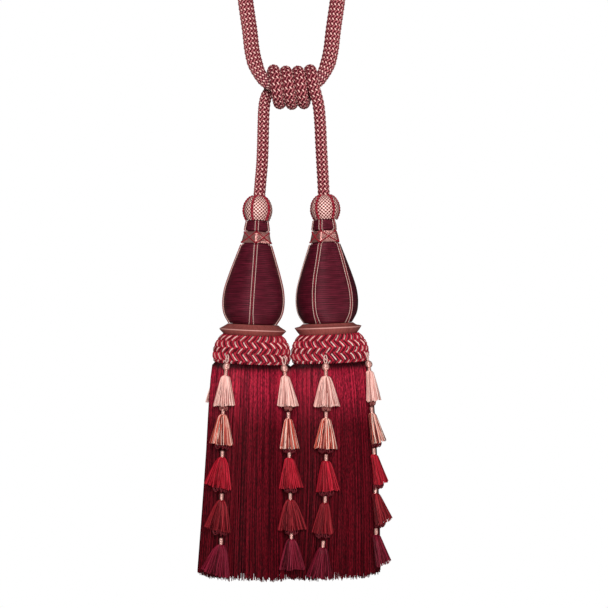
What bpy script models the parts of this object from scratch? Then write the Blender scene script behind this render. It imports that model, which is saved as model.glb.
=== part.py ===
"""Curtain tieback with two hanging tassels.

A thick braided loop cord hangs from its crown.  A thinner cord wraps it four
times and carries a tassel on each end.  Each tassel is a turned ball, a wound
pear-shaped mould with five corded ribs, a laced band, a disc, a plaited
collar, a cut skirt, and five strings of small tassels.

Metres, Z up, X to the right, the front towards -Y.  The origin is the point
inside the crown of the loop where a hook bears.
"""
import math
import random

import bmesh
import bpy
from mathutils import Matrix, Vector

# ---- Driving sizes -------------------------------------------------------
LOOP_CORD = 0.0120        # thickness of the loop cord
TASSEL_CORD = 0.0092      # thickness of the cord that carries the tassels
GAP = 0.0003              # clearance between pieces that touch

KNOT_Z = -0.2069          # middle of the wrapped knot
KNOT_WRAPS = 4            # front passes of the tassel cord
KNOT_PITCH = 0.0095       # from one wrap to the next
KNOT_RADIUS = 0.0125      # from the middle of the knot to the middle of a wrap
KNOT_RISE = 0.0011        # how much higher the two end wraps ride
LOOP_SQUEEZED = 0.83       # share of its thickness that the loop cord keeps there
SQUEEZED_Z = (-0.1880, -0.1960)  # where it starts to be squeezed, and is fully

RIB_COUNT = 5
RIB_WIDTH = 0.0034
RIB_HEIGHT = 0.0010
BALL_CORD_WIDTH = 0.0022
BALL_CORD_HEIGHT = 0.0008

COLLAR_BARS = 24          # pale bars round each row of the collar
COLLAR_RELIEF = 0.00055
SKIRT_LOCKS = 48
SKIRT_LOCK_DEPTH = 0.0080
SKIRT_LENGTH = 0.1580     # below the collar
SKIRT_FULLNESS = 0.80     # share of its step that a lock fills
SKIRT_RAGGED = 0.0022     # how much the locks differ in length
SLOT = 0.0007             # each skirt stops this far short of the middle plane
PRESSED = (0.0135, 0.0190)     # the skirts are pressed flat together up to here
PRESSED_BELOW = 0.0060         # from this far below the skirt's top

DROPS_PER_STRING = 5
DROP_PITCH = 0.0320
DROP_LENGTH = 0.0222
DROP_WIDTH = 0.0190
DROP_DEPTH = 0.0100
DROP_CLEARANCE = 0.0012   # between a drop's hem and the skirt
LOCK_PARTING = 5.0        # degrees that each side of a drop's lock draws back
BEAD_RADIUS = 0.0029
BEAD_OUT = 0.0326         # middle of the bead out from the axis
THREAD_LENGTH = 0.0095    # up from the middle of the bead, over the collar
THREAD_RADIUS = 0.0006
THREAD_STANDOFF = 0.0017  # middle of the thread out from the collar's widest
NECK_RADIUS = 0.0011
SHOULDER = (0.0036, 0.0028)   # half width and half depth of a drop's top
SHOULDER_DROP = 0.0016
DROP_HEART = 0.0013       # radius where a drop's locks meet
LOOP_KNOT = (0.0028, 0.0020)  # half width and half depth of a looped knot
LOOP_KNOT_DROP = 0.0018   # hem to the middle of the looped knot
LOOP_KNOT_END = 0.0036
NECK_LENGTH = 0.0064      # middle of the bead to the first drop

# ---- Where each tassel hangs ---------------------------------------------
# place: where its axis starts, inside the ball; lean: degrees the axis swings
# outwards; ribs_at, ball_cords_at: degrees round the axis from the front, to
# the right; twist: degrees the ribs turn below the band, and the depth where
# they have turned; ball: how far it sits to the right; disc: the same, and how
# high its rim; sway: how far the hem hangs back in; bow: how far the skirt
# bows out halfway down.
TASSELS = {
    "left": {
        "side": -1,
        "place": (-0.0263, -0.3005),
        "lean": 2.4,
        "ribs_at": 0.0,
        "twist": (-2.5, 0.0915),
        "ball_cords_at": -24.0,
        "ball": 0.0003,
        "disc": (0.0, 0.0),
        "sway": 0.0030,
        "bow": 0.0,
        "seed": 11,
    },
    "right": {
        "side": 1,
        "place": (0.0255, -0.2996),
        "lean": 2.3,
        "ribs_at": -22.0,
        "twist": (-5.0, 0.0550),
        "ball_cords_at": -38.0,
        "ball": 0.0008,
        "disc": (-0.0007, 0.0014),
        "sway": 0.0055,
        "bow": 0.0021,
        "seed": 23,
    },
}

# Strings of drops: degrees round the axis at the bead, at the first drop's hem
# and at the last one's, the way the drops face (None: straight out), and how
# far the first and the last stand off the skirt.
STRINGS = {
    "left": (
        {"turn": (-34, -31.2, -24.0), "face": None, "off": (0.0, 0.0)},
        {"turn": (53, 46.8, 46.0), "face": 0, "off": (0.0026, 0.0052)},
        {"turn": (146, 146, 146), "face": None, "off": (0.0, 0.0)},
        {"turn": (182, 182, 180), "face": None, "off": (0.0, 0.0)},
        {"turn": (-128, -129, -150), "face": None, "off": (0.0, 0.0)},
    ),
    "right": (
        {"turn": (-8, -9, -12), "face": None, "off": (0.0, 0.0)},
        {"turn": (63.6, 50.0, 47.5), "face": 60, "off": (0.0, 0.0)},
        {"turn": (140, 140, 140), "face": None, "off": (0.0, 0.0)},
        {"turn": (177, 177, 177), "face": None, "off": (0.0, 0.0)},
        {"turn": (-146, -146, -146), "face": None, "off": (0.0, 0.0)},
    ),
}
# The drops of the five strings in sight, in millimetres: how much lower than
# its even place each one hangs, how far its hem swings to the right and
# stands outwards, and its width.
FRONT_DROPS = {
    ("left", 0): (
        (0.4, 0.8, 0.0, 18.6), (-2.5, -1.2, 0.0, 20.2), (-2.3, -3.4, 0.3, 24.0),
        (-2.2, -3.2, 0.2, 23.4), (-1.0, -4.6, 0.2, 23.8),
    ),
    ("left", 1): (
        (-1.0, 0.0, 0.0, 16.4), (-1.0, 0.4, 0.0, 14.8), (-3.3, 0.8, 0.0, 18.8),
        (-3.8, 0.8, 0.0, 22.2), (-6.3, 0.8, 0.0, 20.6),
    ),
    ("left", 4): (
        (2.2, 0.0, 0.0, 19.0), (-0.6, -2.0, 0.0, 18.4), (-1.2, -1.6, 0.0, 18.8),
        (-0.4, -1.4, 0.0, 18.2), (-1.6, -1.4, 0.0, 19.2),
    ),
    ("right", 0): (
        (0.4, 0.8, 0.0, 20.0), (-0.2, -0.4, 0.0, 17.8), (-0.2, 2.0, 0.0, 18.8),
        (-1.0, -0.8, 0.0, 16.4), (0.2, -1.2, 0.0, 20.0),
    ),
    ("right", 1): (
        (-1.4, 1.0, 1.7, 15.0), (-1.5, 2.0, 3.5, 15.4), (-2.0, 2.4, 4.1, 14.0),
        (-4.6, 3.0, 5.2, 22.0), (-5.2, 2.9, 5.0, 18.8),
    ),
}

# ---- Profiles: (depth below the tassel's own origin, radius) -------------
BALL_PROFILE = (
    (-0.0085, 0.0038), (-0.0076, 0.0060), (-0.0056, 0.0082), (-0.0024, 0.0101),
    (0.0011, 0.0109), (0.0041, 0.0109), (0.0074, 0.0099), (0.0105, 0.0084),
)
MOULD_PROFILE = (
    (0.0111, 0.0084), (0.0186, 0.0096), (0.0192, 0.0078), (0.0292, 0.0102),
    (0.0300, 0.0120), (0.0420, 0.0163), (0.0540, 0.0204), (0.0640, 0.0233),
    (0.0720, 0.0244), (0.0790, 0.0242), (0.0850, 0.0227), (0.0915, 0.0188),
)
BAND_TOP = 0.0196
BAND_END = 0.0284
BAND_THICKNESS = 0.0007
DISC_PROFILE = (
    (0.0919, 0.0198), (0.0936, 0.0222), (0.0950, 0.0246), (0.0960, 0.0261),
    (0.0965, 0.0261), (0.0984, 0.0244), (0.1005, 0.0222),
)
COLLAR_TOP = 0.1009
COLLAR_HOLE = 0.0200
COLLAR_PROFILE = (
    (0.1012, 0.0239), (0.1042, 0.0263), (0.1078, 0.0283), (0.1115, 0.0294),
    (0.1152, 0.0298), (0.1188, 0.0298), (0.1212, 0.0289),
)
HEAD_TOP = 0.1009
HEAD_FLANGE = 0.1216
SKIRT_TOP = 0.1240
SKIRT_PROFILE = (
    (0.1240, 0.0268), (0.1290, 0.0307), (0.2050, 0.0343), (0.2820, 0.0384),
)

BEAD_DEPTH = 0.1244
# A drop's outline: (share of its length, half width, half depth)
DROP_SHAPE = ((0.45, 0.0063, 0.0036), (1.0, DROP_WIDTH / 2, DROP_DEPTH / 2))

# ---- Routes: points chosen by hand on the left half, (x, z) --------------
LOOP_KNOT_TO_CROWN = (
    (-0.0003, -0.2058), (-0.0055, -0.2056), (-0.0100, -0.2050), (-0.0142, -0.2040),
    (-0.0177, -0.2031), (-0.0208, -0.2012), (-0.0233, -0.1984), (-0.0257, -0.1946),
    (-0.0276, -0.1903), (-0.0294, -0.1848), (-0.0312, -0.1756),
    (-0.0328, -0.1615), (-0.0361, -0.1380), (-0.0388, -0.1120), (-0.0408, -0.0830),
    (-0.0412, -0.0560), (-0.0374, -0.0280), (-0.0245, -0.0048), (0.0000, 0.0060),
)
# (x, y, z) of the two legs between the knot and the balls
LEFT_LEG = (
    (-0.0252, 0.0000, -0.2912), (-0.0242, 0.0006, -0.2790), (-0.0232, 0.0020, -0.2670),
    (-0.0226, 0.0042, -0.2517), (-0.0223, 0.0070, -0.2360), (-0.0218, 0.0102, -0.2215),
    (-0.0203, 0.0121, -0.2125),
)
RIGHT_LEG = (
    (0.0208, -0.0106, -0.2215), (0.0223, -0.0074, -0.2360), (0.0231, -0.0044, -0.2517),
    (0.0240, -0.0021, -0.2670), (0.0247, -0.0006, -0.2790), (0.0253, 0.0000, -0.2904),
)
LOOP_POINTS = 47
WRAP_STEPS = 12

# ---- Colours: linear RGB, roughness --------------------------------------
FINISHES = {
    "cord_braid": ((0.36, 0.10, 0.13), 0.60),
    "ball_net": ((0.62, 0.32, 0.30), 0.50),
    "red_cord": ((0.38, 0.01, 0.05), 0.50),
    "wound_silk": ((0.11, 0.012, 0.03), 0.40),
    "pale_satin": ((0.60, 0.30, 0.27), 0.35),
    "rose_satin": ((0.62, 0.24, 0.22), 0.35),
    "plait": ((0.30, 0.02, 0.06), 0.60),
    "skirt_thread": ((0.17, 0.008, 0.035), 0.55),
    "drop_thread": ((0.55, 0.16, 0.16), 0.60),
}


# ---- Helpers -------------------------------------------------------------
def clear_scene():
    for obj in list(bpy.data.objects):
        bpy.data.objects.remove(obj, do_unlink=True)


def make_materials():
    materials = {}
    for name, (colour, roughness) in FINISHES.items():
        material = bpy.data.materials.new(name)
        material.use_nodes = True
        shader = material.node_tree.nodes["Principled BSDF"]
        shader.inputs["Base Color"].default_value = (*colour, 1.0)
        shader.inputs["Roughness"].default_value = roughness
        shader.inputs["Metallic"].default_value = 0.0
        materials[name] = material
    return materials


def add_object(name, bm, material, parent, smooth_angle=50.0):
    """Finish a bmesh into a named object under its parent."""
    bmesh.ops.recalc_face_normals(bm, faces=bm.faces)
    mesh = bpy.data.meshes.new(name)
    bm.to_mesh(mesh)
    bm.free()
    mesh.shade_smooth()
    mesh.set_sharp_from_angle(angle=math.radians(smooth_angle))
    mesh.materials.append(material)
    obj = bpy.data.objects.new(name, mesh)
    obj.parent = parent
    collection.objects.link(obj)
    return obj


def radius_at(profile, depth):
    """Radius of a turned profile at a depth, straight between its points."""
    for (d0, r0), (d1, r1) in zip(profile, profile[1:]):
        if depth <= d1:
            t = max(0.0, (depth - d0) / (d1 - d0))
            return r0 + (r1 - r0) * t
    return profile[-1][1]


def around(azimuth, radius, depth):
    """Point at an azimuth in degrees from the front, to the right."""
    angle = math.radians(azimuth)
    return Vector((radius * math.sin(angle), -radius * math.cos(angle), -depth))


def turned(profile, segments, start=0.0, closed=False):
    """Spin (depth, radius) points round the Z axis into a closed solid."""
    bm = bmesh.new()
    outline = [around(start, radius, depth) for depth, radius in profile]
    if not closed:
        outline.insert(0, Vector((0.0, 0.0, -profile[0][0])))
        outline.append(Vector((0.0, 0.0, -profile[-1][0])))
    verts = [bm.verts.new(point) for point in outline]
    edges = [bm.edges.new(pair) for pair in zip(verts, verts[1:])]
    if closed:
        edges.append(bm.edges.new((verts[-1], verts[0])))
    bmesh.ops.spin(
        bm,
        geom=verts + edges,
        cent=(0.0, 0.0, 0.0),
        axis=(0.0, 0.0, 1.0),
        angle=2.0 * math.pi,
        steps=segments,
        use_merge=True,
    )
    bmesh.ops.remove_doubles(bm, verts=bm.verts, dist=0.00002)
    return bm


def smooth_route(points, count):
    """Evenly spaced points on a smooth curve through hand-chosen points."""
    points = [Vector(p) for p in points]
    ends = [points[0] * 2 - points[1]] + points + [points[-1] * 2 - points[-2]]
    fine = []
    steps = 24
    for i in range(1, len(ends) - 2):
        p0, p1, p2, p3 = ends[i - 1:i + 3]
        for k in range(steps):
            t = k / steps
            fine.append(
                0.5 * (2 * p1 + (p2 - p0) * t + (2 * p0 - 5 * p1 + 4 * p2 - p3) * t * t
                       + (3 * p1 - p0 - 3 * p2 + p3) * t ** 3)
            )
    fine.append(points[-1])
    lengths = [0.0]
    for a, b in zip(fine, fine[1:]):
        lengths.append(lengths[-1] + (b - a).length)
    route = []
    j = 0
    for i in range(count):
        goal = lengths[-1] * i / (count - 1)
        while j < len(fine) - 2 and lengths[j + 1] < goal:
            j += 1
        span = lengths[j + 1] - lengths[j]
        t = (goal - lengths[j]) / span if span else 0.0
        route.append(fine[j].lerp(fine[j + 1], min(1.0, t)))
    return route


def tube(name, route, thickness, material, fullness=None, sides_level=2):
    """A cord's solid: a bevelled polyline with filled caps.

    fullness(place) gives the share of its thickness that it has at a place.
    """
    curve = bpy.data.curves.new(name, "CURVE")
    curve.dimensions = "3D"
    curve.bevel_depth = thickness / 2
    curve.bevel_resolution = sides_level
    curve.use_fill_caps = True
    curve.resolution_u = 1
    curve.render_resolution_u = 0
    spline = curve.splines.new("POLY")
    spline.points.add(len(route) - 1)
    for point, place in zip(spline.points, route):
        point.co = (*place, 1.0)
        point.radius = fullness(place) if fullness else 1.0
    curve.materials.append(material)
    obj = bpy.data.objects.new(name, curve)
    collection.objects.link(obj)
    return obj


def strip_along(profile, depths, azimuths, section, standoff):
    """Loft a flat-backed section down a turned profile."""
    bm = bmesh.new()
    rings = []
    for i, (depth, azimuth) in enumerate(zip(depths, azimuths)):
        angle = math.radians(azimuth)
        side = Vector((math.cos(angle), math.sin(angle), 0.0))
        place = around(azimuth, radius_at(profile, depth), depth)
        before = depths[max(0, i - 1)]
        after = depths[min(len(depths) - 1, i + 1)]
        run = around(azimuth, radius_at(profile, after), after)
        run -= around(azimuth, radius_at(profile, before), before)
        outward = side.cross(run).normalized()
        if outward.dot(around(azimuth, 1.0, 0.0)) < 0:
            outward = -outward
        ring = []
        for across, up in section:
            lifted = place + around(azimuth, standoff, 0.0)
            ring.append(bm.verts.new(lifted + side * across + outward * up))
        rings.append(ring)
    for a, b in zip(rings, rings[1:]):
        for j in range(len(a)):
            k = (j + 1) % len(a)
            bm.faces.new((a[j], a[k], b[k], b[j]))
    bm.faces.new(rings[0])
    bm.faces.new(list(reversed(rings[-1])))
    return bm


# ---- The two cords -------------------------------------------------------
def knot_axis(x):
    """Height of the middle of the knot; it rises with the loop cord."""
    end = KNOT_PITCH * (KNOT_WRAPS - 1) / 2
    return KNOT_Z + KNOT_RISE * (x / end) ** 2


def loop_route():
    left = [(x, 0.0, z) for x, z in LOOP_KNOT_TO_CROWN]
    right = [(-x, 0.0, z) for x, z in reversed(LOOP_KNOT_TO_CROWN[:-1])]
    return smooth_route(left + right, LOOP_POINTS)


def tassel_cord_route():
    """Up from the left ball, round the loop cord, and down to the right one."""
    start_x = -KNOT_PITCH * (KNOT_WRAPS - 1) / 2
    wraps = []
    first = -90
    last = 360 * (KNOT_WRAPS - 1) + 90
    step = 360 // WRAP_STEPS
    for degrees in range(first, last + 1, step):
        turn = math.radians(degrees)
        x = start_x + KNOT_PITCH * degrees / 360
        y = -KNOT_RADIUS * math.sin(turn)
        z = knot_axis(x) + KNOT_RADIUS * math.cos(turn)
        wraps.append((x, y, z))
    return [Vector(p) for p in LEFT_LEG] + [Vector(p) for p in wraps] + [Vector(p) for p in RIGHT_LEG]


def loop_fullness(place):
    start, end = SQUEEZED_Z
    return 1 - (1 - LOOP_SQUEEZED) * share_between(-place[2], -start, -end)


def build_cords(materials):
    tube("loop_cord", loop_route(), LOOP_CORD, materials["cord_braid"], loop_fullness)
    tube("tassel_cord", tassel_cord_route(), TASSEL_CORD, materials["cord_braid"])


# ---- Rigid pieces of one tassel ------------------------------------------
def build_ball(name, tassel, materials, parent):
    segments = 20
    aside = (tassel["ball"], 0.0, 0.0)
    bm = turned(BALL_PROFILE, segments, tassel["ball_cords_at"])
    bmesh.ops.translate(bm, vec=aside, verts=bm.verts)
    add_object(f"{name}_ball", bm, materials["ball_net"], parent)
    half = BALL_CORD_WIDTH / 2
    section = (
        (-half, 0.0), (-half * 0.7, BALL_CORD_HEIGHT * 0.75), (0.0, BALL_CORD_HEIGHT),
        (half * 0.7, BALL_CORD_HEIGHT * 0.75), (half, 0.0),
    )
    depths = [depth for depth, radius in BALL_PROFILE[2:]]
    for i in range(RIB_COUNT):
        azimuths = [tassel["ball_cords_at"] + 360 / RIB_COUNT * i] * len(depths)
        bm = strip_along(BALL_PROFILE, depths, azimuths, section, GAP)
        bmesh.ops.translate(bm, vec=aside, verts=bm.verts)
        add_object(f"{name}_ball_cord_{i + 1}", bm, materials["red_cord"], parent)


def twist_at(tassel, depth):
    """Degrees that the mould and its ribs have turned at a depth."""
    degrees, turned_by = tassel["twist"]
    start = BAND_END + 0.0010
    return degrees * min(1.0, max(0.0, (depth - start) / (turned_by - start)))


def build_mould(name, tassel, materials, parent):
    """The wound pear, drawn slightly flat between its five ribs."""
    segments = 5 * RIB_COUNT
    flatness = 0.03
    bm = turned(MOULD_PROFILE, segments, tassel["ribs_at"])
    for vert in bm.verts:
        azimuth = math.degrees(math.atan2(vert.co.x, -vert.co.y)) - tassel["ribs_at"]
        swell = math.cos(math.radians(azimuth * RIB_COUNT))
        vert.co.xy = vert.co.xy * (1 - flatness * (1 - swell) / 2)
        twist = math.radians(twist_at(tassel, -vert.co.z))
        vert.co = Matrix.Rotation(twist, 3, "Z") @ vert.co
    add_object(f"{name}_mould", bm, materials["wound_silk"], parent)


def build_ribs(name, tassel, materials, parent):
    """Three cords side by side: pale, red, pale."""
    w = RIB_WIDTH / 2
    h = RIB_HEIGHT
    section = (
        (-w, 0.0), (-w * 0.68, h * 0.85), (-w * 0.33, h * 0.5), (0.0, h),
        (w * 0.33, h * 0.5), (w * 0.68, h * 0.85), (w, 0.0),
    )
    depths = [depth for depth, radius in MOULD_PROFILE]
    depths[0] += GAP
    depths[-1] -= GAP
    for i in range(RIB_COUNT):
        azimuth = tassel["ribs_at"] + 360 / RIB_COUNT * i
        azimuths = [azimuth + twist_at(tassel, depth) for depth in depths]
        bm = strip_along(MOULD_PROFILE, depths, azimuths, section, GAP)
        add_object(f"{name}_rib_{i + 1}", bm, materials["pale_satin"], parent)


def build_band(name, tassel, materials, parent):
    """A thin winding stretched from rib to rib, a rounded pentagon."""
    segments = 4 * RIB_COUNT
    clear = RIB_HEIGHT + 2 * GAP + 0.0002
    top = radius_at(MOULD_PROFILE, BAND_TOP + 0.0003) + clear
    end = radius_at(MOULD_PROFILE, BAND_END - 0.0003) + clear
    profile = (
        (BAND_TOP, top + BAND_THICKNESS), (BAND_END, end + BAND_THICKNESS),
        (BAND_END, end), (BAND_TOP, top),
    )
    bm = turned(profile, segments, tassel["ribs_at"], closed=True)
    drawn_in = 0.05
    for vert in bm.verts:
        azimuth = math.degrees(math.atan2(vert.co.x, -vert.co.y)) - tassel["ribs_at"]
        swell = math.cos(math.radians(azimuth * RIB_COUNT))
        vert.co.xy = vert.co.xy * (1 - drawn_in * (1 - swell) / 2)
    add_object(f"{name}_band", bm, materials["pale_satin"], parent)


def build_disc(name, tassel, materials, parent):
    """A disc with a thin rim; it may sit a little to one side."""
    segments = 5 * RIB_COUNT
    aside, rim_up = tassel["disc"]
    rim = max(radius for depth, radius in DISC_PROFILE)
    profile = []
    for depth, radius in DISC_PROFILE:
        share = max(0.0, (radius - DISC_PROFILE[-1][1]) / (rim - DISC_PROFILE[-1][1]))
        profile.append((depth - rim_up * share, radius))
    bm = turned(profile, segments)
    bmesh.ops.translate(bm, vec=(aside, 0.0, 0.0), verts=bm.verts)
    add_object(f"{name}_disc", bm, materials["rose_satin"], parent)


def build_collar(name, materials, parent):
    """A plaited ruff: rows of raised bars that lean one way, then the other."""
    segments = 2 * COLLAR_BARS
    inner = ((COLLAR_PROFILE[-1][0], COLLAR_HOLE), (COLLAR_TOP, COLLAR_HOLE))
    bm = turned(COLLAR_PROFILE + inner, segments, closed=True)
    step = 360 / segments
    raised = set()
    for vert in bm.verts:
        depth = -vert.co.z
        ring = min(range(len(COLLAR_PROFILE)), key=lambda i: abs(COLLAR_PROFILE[i][0] - depth))
        at_rim = vert.co.xy.length < COLLAR_HOLE + 0.001
        if at_rim or ring in (0, len(COLLAR_PROFILE) - 1):
            continue
        column = round(math.degrees(math.atan2(vert.co.x, -vert.co.y)) / step)
        if (column + ring) % 2 == 0:
            raised.add(vert)
        sign = 1 if vert in raised else -1
        vert.co.xy = vert.co.xy * (1 + sign * COLLAR_RELIEF / vert.co.xy.length)
    for face in list(bm.faces):
        high = [vert for vert in face.verts if vert in raised]
        if len(high) == 2 and len(face.verts) == 4:
            bmesh.utils.face_split(face, high[0], high[1])
    add_object(f"{name}_collar", bm, materials["plait"], parent, smooth_angle=80.0)


# ---- Skirt ---------------------------------------------------------------
def reach_to_middle(tassel, depth):
    """Distance from the leaning axis to the plane between the two tassels."""
    return abs(tassel["place"][0]) + depth * math.sin(math.radians(tassel["lean"]))


def hang_shift(tassel, depth):
    """How far what hangs plumb stays in from the leaning axis."""
    below = max(0.0, depth - SKIRT_TOP) / SKIRT_LENGTH
    inwards = tassel["sway"] * below - tassel["bow"] * 4 * below * (1 - below)
    return -tassel["side"] * inwards


def hang_point(tassel, azimuth, radius, depth):
    """Point below the collar, kept on its own side of the middle plane."""
    place = around(azimuth, radius, depth)
    place.x += hang_shift(tassel, depth)
    limit = reach_to_middle(tassel, depth)
    if -tassel["side"] * place.x > limit:
        place.x = -tassel["side"] * limit
    return place


def share_between(value, low, high):
    return min(1.0, max(0.0, (value - low) / (high - low)))


def skirt_point(tassel, azimuth, radius, depth):
    """Point of a skirt, pressed flat where it meets the other tassel's."""
    place = around(azimuth, radius, depth)
    place.x += hang_shift(tassel, depth)
    share = radius / radius_at(SKIRT_PROFILE, depth)
    pressed = 1.0 - share_between(abs(place.y) / share, *PRESSED)
    pressed *= share_between(depth, SKIRT_TOP, SKIRT_TOP + PRESSED_BELOW)
    limit = reach_to_middle(tassel, depth) - SLOT
    inwards = -tassel["side"] * place.x
    if inwards > 0:
        inwards += max(0.0, limit * share - inwards) * pressed
    place.x = -tassel["side"] * min(inwards, limit)
    return place


def grow_lock(bm, root, sections):
    """Loft a lock from its root face through sections, a point for each corner."""
    ring = list(root.verts)
    bm.faces.remove(root)
    for section in sections:
        lower = [bm.verts.new(point) for point in section]
        for j in range(len(ring)):
            k = (j + 1) % len(ring)
            bm.faces.new((ring[j], ring[k], lower[k], lower[j]))
        ring = lower
    bm.faces.new(ring)


def azimuth_of(place):
    return math.degrees(math.atan2(place.x, -place.y))


def build_skirt(name, tassel, materials, parent):
    """A turned head under the collar with four-sided locks below its rim."""
    rng = random.Random(tassel["seed"])
    rim = SKIRT_PROFILE[0][1]
    root_radius = rim - SKIRT_LOCK_DEPTH
    stem = COLLAR_HOLE - 0.0005
    profile = (
        (HEAD_TOP, stem), (HEAD_FLANGE, stem), (HEAD_FLANGE, rim - 0.0004),
        (SKIRT_TOP, rim), (SKIRT_TOP, root_radius),
    )
    bm = turned(profile, SKIRT_LOCKS)
    roots = []
    for face in bm.faces:
        at_bottom = all(abs(vert.co.z + SKIRT_TOP) < 1e-6 for vert in face.verts)
        if at_bottom and len(face.verts) == 4:
            roots.append(face)
    roots.sort(key=lambda face: azimuth_of(face.calc_center_median()))
    half = 360 / SKIRT_LOCKS * SKIRT_FULLNESS / 2
    for root in roots:
        azimuth = azimuth_of(root.calc_center_median())
        length = rng.uniform(-SKIRT_RAGGED, SKIRT_RAGGED)
        wander = rng.uniform(-0.8, 0.8)
        proud = rng.uniform(-0.0005, 0.0005)
        sections = []
        for level, (depth, radius) in enumerate(SKIRT_PROFILE[1:], start=1):
            hung = level / (len(SKIRT_PROFILE) - 1)
            if hung == 1.0:
                depth += length
            section = []
            for vert in root.verts:
                off_middle = (azimuth_of(vert.co) - azimuth + 180) % 360 - 180
                across = math.copysign(half, off_middle) + wander * hung
                inner = vert.co.xy.length < rim - SKIRT_LOCK_DEPTH / 2
                lock_radius = radius + proud * hung - (SKIRT_LOCK_DEPTH if inner else 0.0)
                section.append(skirt_point(tassel, azimuth + across, lock_radius, depth))
            sections.append(section)
        grow_lock(bm, root, sections)
    add_object(f"{name}_skirt", bm, materials["skirt_thread"], parent)


# ---- Strings of drops ----------------------------------------------------
def string_centre(tassel, string, depth):
    """Middle of a string: it lies on the skirt and turns a little as it falls."""
    top, first, end = string["turn"]
    first_hem = BEAD_DEPTH + NECK_LENGTH + DROP_LENGTH
    last_hem = first_hem + DROP_PITCH * (DROPS_PER_STRING - 1)
    out = share_between(depth, BEAD_DEPTH, first_hem)
    down = share_between(depth, first_hem, last_hem)
    azimuth = top + (first - top) * out + (end - first) * down
    if depth < BEAD_DEPTH:
        up = (BEAD_DEPTH - depth) / THREAD_LENGTH
        collar = max(radius for depth, radius in COLLAR_PROFILE) + THREAD_STANDOFF
        return around(azimuth, BEAD_OUT + (collar - BEAD_OUT) * up, depth), azimuth
    off = string["off"][0] + (string["off"][1] - string["off"][0]) * down
    hem_out = radius_at(SKIRT_PROFILE, max(depth, first_hem))
    hem_out += DROP_CLEARANCE + DROP_DEPTH / 2 + off
    radius = BEAD_OUT + (hem_out - BEAD_OUT) * out
    return hang_point(tassel, azimuth, radius, depth), azimuth


def string_ring(tassel, string, depth, half_width, half_depth, angles, lean=(0.0, 0.0)):
    """Points round a string at one depth, on an ellipse that faces outwards.

    lean shifts the ring sideways and outwards, and tilts and lifts it to match.
    """
    centre, azimuth = string_centre(tassel, string, depth)
    face = math.radians(azimuth if string["face"] is None else string["face"])
    along = Vector((math.cos(face), math.sin(face), 0.0))
    outward = Vector((math.sin(face), -math.cos(face), 0.0))
    lift = (lean[0] ** 2 + lean[1] ** 2) / 2
    points = []
    for angle in angles:
        turn = math.radians(angle)
        across = half_width * math.sin(turn)
        out = half_depth * math.cos(turn)
        point = centre + along * (across + lean[0]) + outward * (out + lean[1])
        point.z += (lean[0] * across + lean[1] * out + lift) / DROP_LENGTH
        points.append(point)
    return points


def drop_places(name, number):
    """For each drop of a string: lower, swing, stand out and width, in metres."""
    if (name, number) in FRONT_DROPS:
        places = FRONT_DROPS[name, number]
    else:
        rng = random.Random(TASSELS[name]["seed"] * 10 + number)
        places = []
        for i in range(DROPS_PER_STRING):
            lower = rng.uniform(-2.0, 0.2)
            swing = rng.uniform(-1.2, 1.2)
            width = rng.uniform(17.8, 19.8)
            places.append((lower, swing, 0.2, width))
    return [tuple(value / 1000 for value in place) for place in places]


def bridge(bm, upper, lower):
    for j in range(len(upper)):
        k = (j + 1) % len(upper)
        bm.faces.new((upper[j], upper[k], lower[k], lower[j]))


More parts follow.
